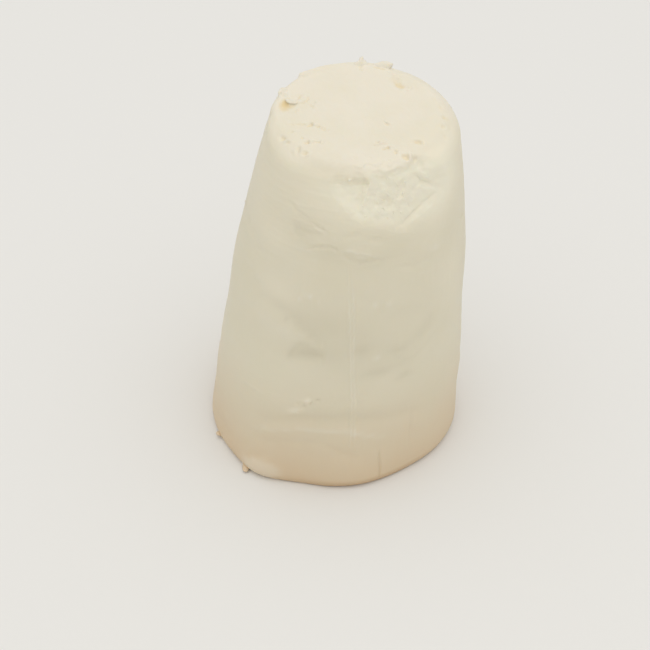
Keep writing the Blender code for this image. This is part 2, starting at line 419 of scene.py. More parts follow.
@dataclass(frozen=True)
class Scar:
    """A scar torn in the skin: it deepens along its turn to a steep end, where skin stands up.

    The last five sizes are shares of its half length and half width.
    """

    first: float
    second: float
    half_length: float
    half_width: float
    turn: float
    depth: float
    flap: float
    gentle_end: Pair = (-1.1, 0.6)
    steep_end: Pair = (-1.05, -0.75)
    flap_place: float = 1.25
    flap_length: float = 0.4
    flap_narrowing: float = 0.8

    def depth_on(self, sheet: Sheet) -> np.ndarray:
        """Works out the scar, whose depth is negative along the flap.

        Args:
            sheet: The wall or the top face.

        Returns:
            Depth at each of its places.
        """
        along, over = sheet.from_spot(self.first, self.second, self.turn)
        along, over = along / self.half_length, over / self.half_width
        deepening = smooth_step(*self.gentle_end, along) * smooth_step(*self.steep_end, -along)
        hollow = self.depth * deepening * np.exp(-(over ** 4))
        past = (along - self.flap_place) / self.flap_length
        return hollow - self.flap * np.exp(-(past ** 2 + (self.flap_narrowing * over) ** 4))


@dataclass(frozen=True)
class Facets:
    """Flat facets between corners, each a given place and its depth.

    The corners come in chains, and an edge of a facet runs along every chain.
    """

    chains: tuple[tuple[Triple, ...], ...]

    def depth_on(self, sheet: Sheet) -> np.ndarray:
        """Works out the facets, each straight from corner to corner.

        Args:
            sheet: The wall or the top face.

        Returns:
            Depth at each of its places.
        """
        across, level = sheet.across, sheet.along
        corners = sorted({corner for chain in self.chains for corner in chain})
        number = {corner: index for index, corner in enumerate(corners)}
        spots = [sheet.lay(first, second) for first, second, _ in corners]
        edges = [(number[a], number[b]) for chain in self.chains for a, b in zip(chain, chain[1:])]
        flat = [Vector(spot) for spot in spots]
        result = np.zeros_like(level)
        for first, second, third in geometry.delaunay_2d_cdt(flat, edges, [], 0, CORNER_WELD)[2]:
            (ax, ay), (bx, by), (cx, cy) = spots[first], spots[second], spots[third]
            area = (bx - ax) * (cy - ay) - (cx - ax) * (by - ay)
            second_share = ((across - ax) * (cy - ay) - (cx - ax) * (level - ay)) / area
            third_share = ((bx - ax) * (level - ay) - (across - ax) * (by - ay)) / area
            first_share = 1.0 - second_share - third_share
            inside = (first_share >= 0.0) & (second_share >= 0.0) & (third_share >= 0.0)
            depths = [corners[corner][2] for corner in (first, second, third)]
            depth = first_share * depths[0] + second_share * depths[1] + third_share * depths[2]
            result = np.where(inside, depth, result)
        return result


def total(forms: tuple[Dent | Furrow | Scar, ...], sheet: Sheet) -> np.ndarray:
    """Depth of several dents, furrows or scars together."""
    return sum(form.depth_on(sheet) for form in forms)


# On the wall: azimuth, height and depth of each corner.
TORN_RIM = Facets((
    (
        (-21, 126.5, 0), (-18.6, 123.6, 0), (-13.1, 120.2, 0), (-9.2, 118, 0), (-4.4, 115, 0),
        (2, 113.3, 0), (9, 112, 0), (18, 109.6, 0), (26.5, 107.9, 0), (36, 107.4, 0),
        (44, 109.5, 0), (50.8, 113, 0), (56.5, 117, 0), (56.5, 122, 0), (50.5, 127.5, 0),
        (44, 131.2, 0),
    ),
    (
        (-21, 126.5, 0), (-16.5, 131.2, 0), (-12, 131.9, 0.1), (-4, 132.2, 0.25),
        (3.4, 131.5, 0.2), (12, 131.2, 0.15), (24, 131.9, 0.15), (36, 132.6, 0.1), (44, 131.2, 0),
    ),
    ((-15, 126, 0.8), (-11.2, 122.6, 0.95), (-7.4, 120.4, 1), (-3.4, 117.8, 0.95), (2.2, 115.8, 0.9)),
    ((-14, 130.2, 0.3), (-8, 130.6, 0.55), (-2, 130.8, 0.7), (2, 130.4, 0.6)),
    ((-14, 126.6, 1.2), (-8, 126.1, 2), (-2, 126.2, 2.6), (1.2, 126.5, 2.4)),
    (
        (3.6, 130.1, 0.9), (8, 129.5, 1.4), (12, 129.4, 1.6), (21.7, 129.8, 1.7),
        (30, 130, 1.6), (37, 130.2, 1.3),
    ),
    ((3.6, 130.1, 0.9), (3, 128, 1.2), (1.6, 124.6, 1.2), (0.6, 121.4, 1.1), (-0.4, 117.8, 0.8)),
    ((-9.5, 123.6, 1.4), (-5, 122.3, 1.7), (-2.2, 119.4, 1.4)),
    ((-1.2, 124.5, 2.1), (-1.4, 121.5, 1.7)),
    ((7, 126.4, 1.5), (14, 125.6, 1.65), (21, 124.4, 1.7), (26, 121.2, 1.6), (29, 118, 1.4)),
    ((6, 120.5, 1.2), (12, 118.4, 1.2), (20, 117.2, 1.2)),
    ((4, 116.4, 0.7), (12, 114.2, 0.75), (20, 112.3, 0.8), (24.8, 111.6, 1.2)),
    ((24.8, 111.6, 1.2), (32.8, 114.4, 1.6), (41.6, 117, 1.4), (47, 118.4, 0.8)),
    ((27.5, 110.2, 0.45), (36.4, 112.6, 0.5), (45, 115, 0.4), (50, 116.9, 0.25)),
    ((31, 128.2, 1.8), (36.8, 125.2, 1.8), (44.3, 122.3, 1.4), (49.6, 119.9, 0.7)),
    ((31, 123, 1.6), (36.2, 123.2, 1.2), (42.5, 120.6, 1), (48, 118.7, 0.6)),
))
# Two lines that a crease and a less pale streak of painted shade in it both follow.
RIM_CREASE = ((4, 129.3), (10, 129.9), (17.6, 130.6), (27, 130.9), (34.5, 131.2), (41, 131.8))
TORN_EDGE = ((24.2, 111.2), (32.8, 114.6), (41.6, 117.2), (46, 118.4))
TORN_CREASES = (
    Furrow(((-1.2, 127), (-1.5, 122.5), (-2.4, 117.6), (-1.6, 115.6)), 0.6, 0.25),
    Furrow(TORN_EDGE, 0.7, 0.3),
    Furrow(RIM_CREASE, 0.5, 0.15),
    Furrow(((31, 129.2), (36.8, 125.6), (44, 122.6), (50.6, 119.9)), 0.6, 0.3),
    Furrow(((6.5, 122.5), (11, 121.4), (15.5, 120.2), (20, 120.8)), 0.8, 0.2),
    Furrow(((9, 125.4), (13.5, 124), (16.8, 121.8)), 0.9, -0.3),
    Furrow(((13, 117.8), (17.5, 118.9), (22, 117.2)), 0.7, 0.25),
    Furrow(((26.2, 128.5), (24.8, 124.5), (25.6, 121.3)), 1, -0.25),
    Furrow(((31, 133), (35.2, 131.7), (38.7, 129.3)), 0.8, 0.35),
    Furrow(((29.5, 129.2), (33, 126.9), (38.5, 123.9), (46.5, 121)), 1, 0.3),
    Furrow(((33, 129.4), (38, 126.4), (44, 124.6)), 1, -0.3),
    Dent(-9.1, 128.6, 0.5, 0.5, -1),
    Dent(38.6, 128.4, 1.2, 0.5, 0.4, -30),
)
PRESSED_FOLDS = Facets((
    ((-58, 74, 0), (-56, 85, 0), (-30, 84.5, 0), (-14, 80, 0), (-3, 71, 0), (1, 66, 0)),
    (
        (-52, 80.2, 0.2), (-45.4, 78.8, 0.45), (-36.5, 77.8, 0.65), (-28.5, 76.4, 0.65),
        (-20.4, 71.6, 0.65), (-11, 65.8, 0.4),
    ),
    (
        (-52, 72, 0), (-43, 71.5, -0.15), (-32, 70.5, -0.2), (-22, 67.5, -0.2), (-14.5, 66, 0),
        (-8, 65.2, 0),
    ),
    ((-26, 58.6, 0.5), (-19.6, 61.6, 0.9), (-10.4, 61, 0.6)),
    (
        (-54, 66, 0), (-40, 62, 0), (-29, 61, 0), (-28.2, 55.4, 0), (-20, 56.6, 0),
        (-9, 59, 0), (1, 66, 0),
    ),
    ((14, 66, 0), (14, 77, 0), (20, 79.5, 0), (27, 81.5, 0), (40, 80, 0), (52, 73, 0), (56, 66, 0)),
    ((20.1, 75.1, 0.3), (26.2, 77.6, 0.35), (40, 75, 0.35), (45.3, 69.5, 0.4)),
    (
        (21.3, 65.2, -0.1), (28.2, 60.9, -0.2), (35.8, 58.3, -0.2), (42.7, 61.9, -0.2),
        (47.6, 66.3, -0.1),
    ),
    ((20, 62.5, 0.25), (27.5, 57.5, 0.45), (36, 54.8, 0.45), (44.5, 58.8, 0.3), (50.5, 64.5, 0.2)),
    ((14, 66, 0), (16, 54, 0), (30, 47, 0), (45, 49, 0), (56, 60, 0), (56, 66, 0)),
))
WALL_SWELLS = (
    Dent(-140, 139, 12, 3, -0.3),
    Dent(-70, 58, 9, 22, -0.35),
    Dent(80, 55, 9, 22, 0.35),
)
WALL_DENTS = (
    Dent(-93, 133, 3.5, 2.6, 0.5, 20),
    Dent(-62, 9, 7, 3.5, 0.7),
    Dent(160, 92, 9, 6, 0.7, 25),
    Dent(-148, 47, 8, 5, 0.6, -20),
    Dent(-32.7, 72.3, 1.8, 0.9, 0.45, 25),
    Dent(-30.2, 73.4, 0.9, 0.7, 0.4),
    Dent(-28.4, 71, 1.2, 0.6, -0.3, 10),
    Dent(-15.5, 39.2, 1, 0.6, 0.7, 10),
    Dent(-12.9, 40.8, 0.7, 0.6, 0.7),
    Dent(-18.4, 39.4, 0.7, 0.6, 0.45),
    Dent(-9.5, 42.2, 0.8, 0.6, 0.6),
    Dent(-14.3, 41.4, 1.1, 0.7, -0.45, 10),
    Dent(-19.6, 36, 3, 1, -0.45, 25),
    Dent(46, 98, 4.2, 2.2, -0.25, -10),
    Dent(-25, 83.8, 0.9, 0.6, -0.35, 10),
    Dent(-22, 84.8, 1.1, 0.6, -0.4, -10),
    Dent(-19.6, 85.4, 1.2, 0.6, -0.35),
    Dent(-16, 84, 1, 0.5, -0.3, 15),
    Dent(12, 82.4, 1.1, 0.6, -0.3),
    Dent(15.2, 80.4, 1, 0.5, 0.3),
    Dent(18.7, 82, 1.1, 0.6, -0.3),
    Dent(-32, 4.6, 7, 3.8, -1, 4),
    Dent(18, 68.6, 5, 1, -0.35, -4),
    Dent(16.3, 59.7, 2.4, 1.3, -0.35),
    Dent(17.9, 53, 8, 1.8, 0.4, 4),
    Dent(31.6, 48.7, 3.2, 1.2, 0.3),
    Dent(74.7, 100.1, 2.6, 0.8, 0.5, -20),
    Dent(9, 107.5, 4, 1.3, 0.35, -10),
    Dent(-2, 109.5, 3, 1.2, 0.3, 25),
    Dent(-34.4, 108.2, 2, 2.6, 0.3, 30),
    Dent(-84, 101, 0.7, 0.55, -1.1),
)
WALL_FURROWS = (
    Furrow(
        ((-5.6, 104), (-1.1, 85.3), (1.7, 69), (4.1, 51.6), (6, 41.2), (6.9, 28.6), (8.4, 11)), 0.45, -0.26
    ),
    Furrow(
        ((-3.4, 104), (0.8, 85.2), (3.3, 68.9), (5.5, 51.5), (7.4, 41), (8.5, 28.4), (9.8, 11)), 0.45, -0.26
    ),
    Furrow(((21.4, 17.5), (21.9, 13.6), (22.5, 9.5), (23, 4.5), (23.1, 1)), 0.4, 0.6),
    Furrow(((-40, 115.6), (-32.8, 113.3), (-24, 111.6), (-15, 109.2)), 0.6, 0.4),
    Furrow(((-38.4, 114.6), (-30.2, 113), (-22.5, 110.6), (-18.2, 108.6)), 0.5, -0.25),
    Furrow(((-43, 117), (-33.3, 114.6), (-26, 112.6)), 0.5, 0.25),
    Furrow(((-36, 112), (-34, 108), (-31.5, 105)), 1, 0.15),
    Furrow(((-30, 108.5), (-22, 107.8), (-12, 105.9)), 1, 0.12),
    Furrow(((-27, 102), (-21.3, 103.9), (-13.7, 104.6), (-8, 103)), 0.6, 0.3),
    Furrow(((-9, 102.8), (-1.5, 100.2), (4.3, 99), (9.4, 99.5), (15.5, 99.9)), 0.9, 0.32),
    Furrow(((-8, 104.2), (2.2, 102.7), (10.5, 101.5)), 0.8, -0.22),
    Furrow(((-79, 89), (-64, 87), (-49.9, 84.5), (-36, 82)), 1.2, -0.18),
    Furrow(((-74, 100), (-62, 97), (-50, 92)), 1.2, 0.25),
    Furrow(((-52, 28), (-31, 29.5), (-16, 33.3), (3, 34.8), (21, 32), (37, 30.2), (60, 25)), 3, 0.5),
    Furrow(((-48, 20.5), (-29.3, 24.8), (-15.6, 28.4), (3.6, 28.6), (18, 24), (34, 20)), 1.4, -0.28),
    Furrow(((-40, 16.5), (-22, 21), (-6, 23), (6, 17), (20, 14)), 2, 0.5),
    Furrow(
        ((-40.5, 6.4), (-38, 8.4), (-35, 10.4), (-32, 11.4), (-29, 11.4), (-26.5, 9.8), (-24, 7.2)), 1.1, 0.4
    ),
    Furrow(((37.4, 30), (37.4, 20.6), (37.8, 12)), 0.5, 0.25),
    Furrow(((-52, 38.5), (-41.7, 39.3), (-33, 38.4)), 0.7, -0.15),
    Furrow(((-27.4, 56), (-24.9, 61.7), (-22.6, 65.4), (-18.4, 65.8), (-15.3, 63.8), (-9, 61.6)), 1, 0.26),
    Furrow(((45.8, 69), (42.3, 64.3), (37.7, 60.6), (33.4, 59), (26.3, 61.1), (21.7, 64.8)), 1.1, 0.3),
    Furrow(((-25, 82.4), (-21, 83.4), (-16, 82.2)), 0.6, 0.25),
    Furrow(((18, 81.6), (25.2, 80.4), (31, 81.8)), 0.7, -0.25),
    Furrow(((20, 96), (34, 94), (46, 95)), 0.8, 0.25),
    Furrow(((26, 89), (40, 90.5), (52, 88)), 0.7, -0.15),
    Furrow(((-115, 120), (-140, 112), (-165, 109)), 1.2, 0.4),
    Furrow(((100, 70), (125, 63), (150, 65)), 1.4, 0.4),
    Furrow(((-165, 30), (-130, 27), (-100, 31)), 2.5, 0.5),
    Furrow(((90, 27), (130, 31), (165, 29)), 2.5, 0.5),
    Furrow(((176, 128), (177, 95), (179, 55), (180, 15)), 1.6, -0.22),
)
# On the wall: darker, greyer patches, whose depth is how dark they are, from 0 to 1. Most are painted shade
# in dents, under the rim and along folds; some are damp curd, which is also less rough.
DAMP_AND_SHADE_PATCHES = (
    Dent(-14, 61.2, 8.5, 3.4, 0.24, 10),
    Furrow(((-28, 57), (-24.9, 61.7), (-22.6, 65.2), (-18.4, 65.4), (-15.3, 63.4)), 1.6, 0.1),
    Dent(18, 53, 8, 2.4, 0.3, 2),
    Dent(31, 48.6, 4, 2, 0.35),
    Dent(8, 64, 3.6, 2.2, 0.3),
    Dent(27, 61.6, 4.2, 1.6, 0.3),
    Dent(-14, 76.5, 9, 7, 0.2, -25),
    Dent(-4, 32.6, 30, 3.4, 0.25, 2),
    Dent(4, 99.6, 9, 2.6, 0.22),
    Dent(-30, 109, 5, 5, 0.25),
    Dent(-14, 103, 6, 3, 0.25),
    Dent(-10, 17.5, 18, 2.4, 0.2),
    Dent(40, 66, 6, 3, 0.25, 30),
    Dent(14, 121.2, 3, 1.6, 0.1),
    Dent(-24, 130.6, 10, 1.7, 0.42),
    Dent(4, 65, 17, 14, 0.3),
    Dent(150, 60, 20, 8, 0.4, 20),
    Dent(-130, 80, 18, 7, 0.4, -15),
)
# On the wall: how pale the curd is, from 0 to 1. Negative entries make it less pale, as painted shade in the
# dent under the rim and along two creases.
PALENESS_AND_CREASE_SHADE = (
    Dent(17, 121.8, 20, 9.2, 1.3, -2),
    Dent(50, 121, 10, 14, 0.9),
    Dent(-18, 125, 12, 7, 0.35),
    Dent(-6.5, 128.6, 6, 2.2, -0.8),
    Dent(-0.5, 128.2, 1.6, 1.4, -0.4),
    Furrow(RIM_CREASE, 1, -0.2),
    Dent(-36, 83, 8, 5, 0.3),
    Dent(-48, 103, 8, 5, 0.3),
    Dent(62, 84, 8, 16, 0.3),
    Dent(-14.3, 41.4, 1.3, 0.9, 1, 10),
    Dent(-19.6, 36, 3.2, 1.1, 0.6, 25),
    Furrow(TORN_EDGE, 0.8, -0.25),
)
# On the top face: X and Y.
TOP_SCARS = (
    Scar(-8.4, -6.8, 1.5, 0.9, 14, 0.75, 0.4),
    Scar(-5.8, -7.4, 1.3, 0.6, -20, 0.5, 0.35),
    Scar(-3.6, -9, 1.2, 0.5, -30, 0.35, 0.25),
    Scar(-12, -6.6, 2.6, 0.4, 4, 0.4, 0.2),
    Scar(-15.4, -6.2, 1.8, 0.35, -6, 0.35, 0.2),
    Scar(-9.2, -16.2, 1.4, 0.7, 15, 0.8, 0.4),
    Scar(-6, -16.2, 1.8, 0.45, 0, 0.4, 0.3),
    Scar(-17.6, -12.4, 1.7, 0.8, -50, 0.7, 0.4),
    Scar(-18.9, -17, 1.2, 1.1, -20, 0.5, 0.35),
    Scar(-16.2, -15, 1.2, 0.6, 10, 0.5, 0.3),
    Scar(-14.1, -20.4, 0.8, 1.4, 8, 0.6, 0.3),
    Scar(-12, -19.4, 0.7, 1.4, -8, 0.5, 0.3),
    Scar(-9.6, -21, 1.3, 0.7, -40, 0.6, 0.35),
    Scar(-11.1, -13.4, 1.2, 0.5, -30, 0.4, 0.25),
    Scar(-14.6, -11, 1.6, 0.4, 30, 0.3, 0.2),
    Scar(-13.4, 0.6, 1.4, 0.5, 60, 0.35, 0.25),
    Scar(-7.8, 4.2, 1.3, 0.5, -50, 0.45, 0.3),
    Scar(-6.8, 5.4, 1, 0.4, 20, 0.35, 0.2),
    Scar(18.3, -7.3, 0.9, 0.9, 60, 0.4, 0.2),
    Scar(14.6, -17.4, 0.9, 0.7, 0, 0.5, 0.3),
    Scar(17.2, -20.4, 1.8, 0.6, 18, 0.6, 0.35),
    Scar(20.6, -22.2, 0.9, 0.9, -20, 0.5, 0.25),
    Scar(27.8, -17.2, 2.4, 0.8, -16, 0.75, 0.3),
    Scar(23.6, -24.6, 1.7, 1, 12, 0.9, 0.5),
    Scar(27, -24.8, 1.3, 0.8, 30, 0.55, 0.35),
    Scar(38, -3.6, 1, 0.9, -40, 0.55, 0.3),
    Scar(37.6, -12.6, 1.3, 0.6, -60, 0.5, 0.3),
    Scar(37, 2.2, 1.6, 0.5, -75, 0.35, 0.2),
    Scar(34.5, 6.5, 1.8, 0.45, -65, 0.3, 0.2),
    Scar(39.8, -7.6, 1.8, 0.5, -75, 0.4, 0.25),
    Scar(37.2, -9.2, 1.4, 0.5, 70, 0.35, 0.2),
)
TOP_RIDGES = (
    Furrow(((-16.6, 9.6), (-16, 7.3), (-14.9, 6.1), (-13.3, 5.8), (-12, 6.8), (-11.2, 9.2)), 1.2, -0.6),
    Furrow(((-18.6, 12.6), (-17.4, 11.2), (-16.2, 9.6)), 0.8, -0.7),
    Furrow(((13.2, -18.6), (15, -18.5), (17, -17.4), (18.4, -16.4)), 0.45, -0.55),
    Furrow(((26.9, 13.6), (26.8, 11.6), (25.6, 10.6)), 0.5, -0.45),
    Furrow(((20.6, 22), (22.4, 19.4), (24.4, 17.4)), 0.6, -0.3),
    Dent(-13.4, 8.2, 1.5, 1.7, 0.45),
    Dent(22.6, 26.4, 3.4, 3, 0.9),
)
# A darker yellow tint in these hollows, which also deepens them; it stands partly for the shade in them.
YELLOW_HOLLOWS = (
    Dent(-17, 6.2, 1.7, 1.8, 0.7),
    Dent(-16.8, 3.4, 2.8, 2.8, 0.5),
    Dent(-16.9, 7.4, 0.8, 0.8, 0.4),
    Dent(-13.8, 4.4, 2.4, 1.1, 0.26, 10),
    Dent(-12, 8, 0.9, 1, 0.5),
    Dent(-11.6, 9.6, 1.4, 0.7, 0.4, 20),
    Furrow(((-12, 5), (-10.4, 5.4), (-9, 7.4), (-8.6, 10.4)), 0.5, 0.4),
    Furrow(((20.1, 20.4), (21.5, 17.4), (22.5, 15.6), (24, 13.5), (25.4, 11.8)), 1.7, 0.32),
    Dent(22.5, 15.4, 1.2, 0.9, 0.22, -50),
    Dent(23.9, 13.6, 1.4, 1, 0.26, -50),
    Furrow(((14, 26.4), (16.4, 25.5), (18.8, 24.6)), 0.6, 0.45),
    Furrow(((9.9, 28), (9.8, 25.8), (9.8, 23.4)), 0.6, 0.4),
)
# On the top face: how lumpy the skin is, from 0 to 1.
TOP_MOTTLES = (
    Dent(-15, -6, 6, 13, 0.8),
    Dent(-8, -18, 7, 5, 0.8),
    Dent(20, -22, 11, 4, 0.7),
    Dent(36, -4, 4, 12, 0.7),
    Dent(-13, 7, 6, 6, 0.6),
    Dent(23, 15, 4, 5, 0.5),
    Dent(14, -14, 6, 4, 0.4),
)
RAISED_LIP = Facets((
    ((-14.4, 20.6, 0), (-13.3, 22, -2.4), (-5.5, 27.8, -1.1), (2, 31.5, -0.9), (9, 32.5, -1)),
    ((-16.6, 23, 0), (-15.3, 24.6, -2.4), (-7, 31.5, -1.1), (1, 35.5, -0.9), (9, 36.5, -1)),
    ((-14.4, 20.6, 0), (-9.5, 20.6, 0), (-3, 24.4, 0), (4, 27.5, 0), (18, 28.5, 0), (20, 36, 0)),
))


@dataclass(frozen=True)
class Grid:
    """The moulded surface before any relief, by row and column, from the foot to the top's middle.

    The wall's relief is read at azimuths and read_heights, and reach is how much of it arrives at
    a place. Up is how far the surface faces up, and on_top how much a place belongs to the top.
    """

    points: np.ndarray
    azimuths: np.ndarray
    read_heights: np.ndarray
    up: np.ndarray
    reach: np.ndarray
    on_top: np.ndarray


@dataclass(frozen=True)
class SkinMarks:
    """What the finish reads at each place: how torn, pale, damp, rubbed or yellow it is, and where shade is
    painted.

    A pair gives the depths, heights or slopes at which a mark begins and is full.
    """

    torn_depths: Pair = (0.1, 0.8)
    crumbly_depths: Pair = (0.4, 1.2)
    crumbly_azimuth: float = 14.0
    crumbly_height: float = 121.5
    crumbly_half_turn: float = 16.0
    crumbly_half_height: float = 7.0
    crease_share: float = 0.7
    # Painted shade that grows with the depth of folds, knocks and creases.
    moist_depths: Pair = (0.15, 1.0)
    moist_folds: float = 0.5
    rubbed_rises: Pair = (0.05, 0.45)
    rubbed_heights: Pair = (12.0, 50.0)
    rubbed_share: float = 0.3
    pale_rim: float = 0.35
    pale_heights: Pair = (96.0, 130.0)
    pale_patches: float = 0.75
    pale_tear: float = 0.25
    top_dulling: float = 0.85
    # The yellow tint in scars and hollows is darker and stands partly for painted shade in them.
    scar_depths: Pair = (0.05, 0.6)
    scar_yellow: float = 0.35
    yellow_depths: Pair = (0.08, 0.9)
    # Painted contact shadow and brown reflection at the base edge, strongest at the front and fading up over
    # a few millimetres.
    edge_stain: SmoothCurve = SmoothCurve(
        (
            (-180, 0.5), (-90, 0.2), (-60, 0.0), (-38, 0.0), (-14, 0.4), (5, 1.0), (28, 0.8), (60, 0.5),
            (120, 0.5),
        ),
        turn=360.0,
    )
    edge_stain_height: float = 4.5
    wall_slopes: Pair = (0.3, 0.8)

    def over(self, grid: Grid, relief: Marks, wall: Sheet, top: Sheet) -> Marks:
        """Works out every mark.

        Args:
            grid: The surface.
            relief: Its relief by name.
            wall: The wall unrolled.
            top: The top face.

        Returns:
            The marks by name, with one share from 0 to 1 for each place.
        """
        tear, level = relief["tear"], grid.points[..., 2]
        pressed = relief["folds"] + relief["knocks"] + self.crease_share * relief["creases"]
        # Painted shade in the deeper folds, knocks and creases.
        shaded_folds = self.moist_folds * smooth_step(*self.moist_depths, pressed)
        pale = total(PALENESS_AND_CREASE_SHADE, wall) + self.pale_rim * smooth_step(*self.pale_heights, grid.read_heights)
        pale = self.pale_patches * pale * (1.0 - self.top_dulling * grid.on_top) * grid.reach
        torn = smooth_step(*self.torn_depths, tear)
        aside = (grid.azimuths - self.crumbly_azimuth) / self.crumbly_half_turn
        above = (grid.read_heights - self.crumbly_height) / self.crumbly_half_height
        kept = self.rubbed_share + self.rubbed_share * smooth_step(*self.rubbed_heights, level)
        base_shade_fade = np.clip(1.0 - level / self.edge_stain_height, 0.0, 1.0)
        scarred = self.scar_yellow * smooth_step(*self.scar_depths, relief["scars"])
        return {
            "torn": torn + total(TOP_MOTTLES, top) * grid.on_top,
            "pale": np.clip(pale + self.pale_tear * torn, 0.0, 1.0),
            "crumbly": np.exp(-((aside ** 2 + above ** 2) ** 2)) * smooth_step(*self.crumbly_depths, tear),
            "moist": np.clip(total(DAMP_AND_SHADE_PATCHES, wall) * grid.reach + shaded_folds, 0.0, 1.0),
            "rubbed": smooth_step(*self.rubbed_rises, -pressed) * (1.0 - grid.on_top) * kept,
            "hollow": scarred + smooth_step(*self.yellow_depths, relief["yellow"]),
            "stain": self.edge_stain.at(grid.azimuths) * base_shade_fade,
            "wall": 1.0 - smooth_step(*self.wall_slopes, grid.up),
        }


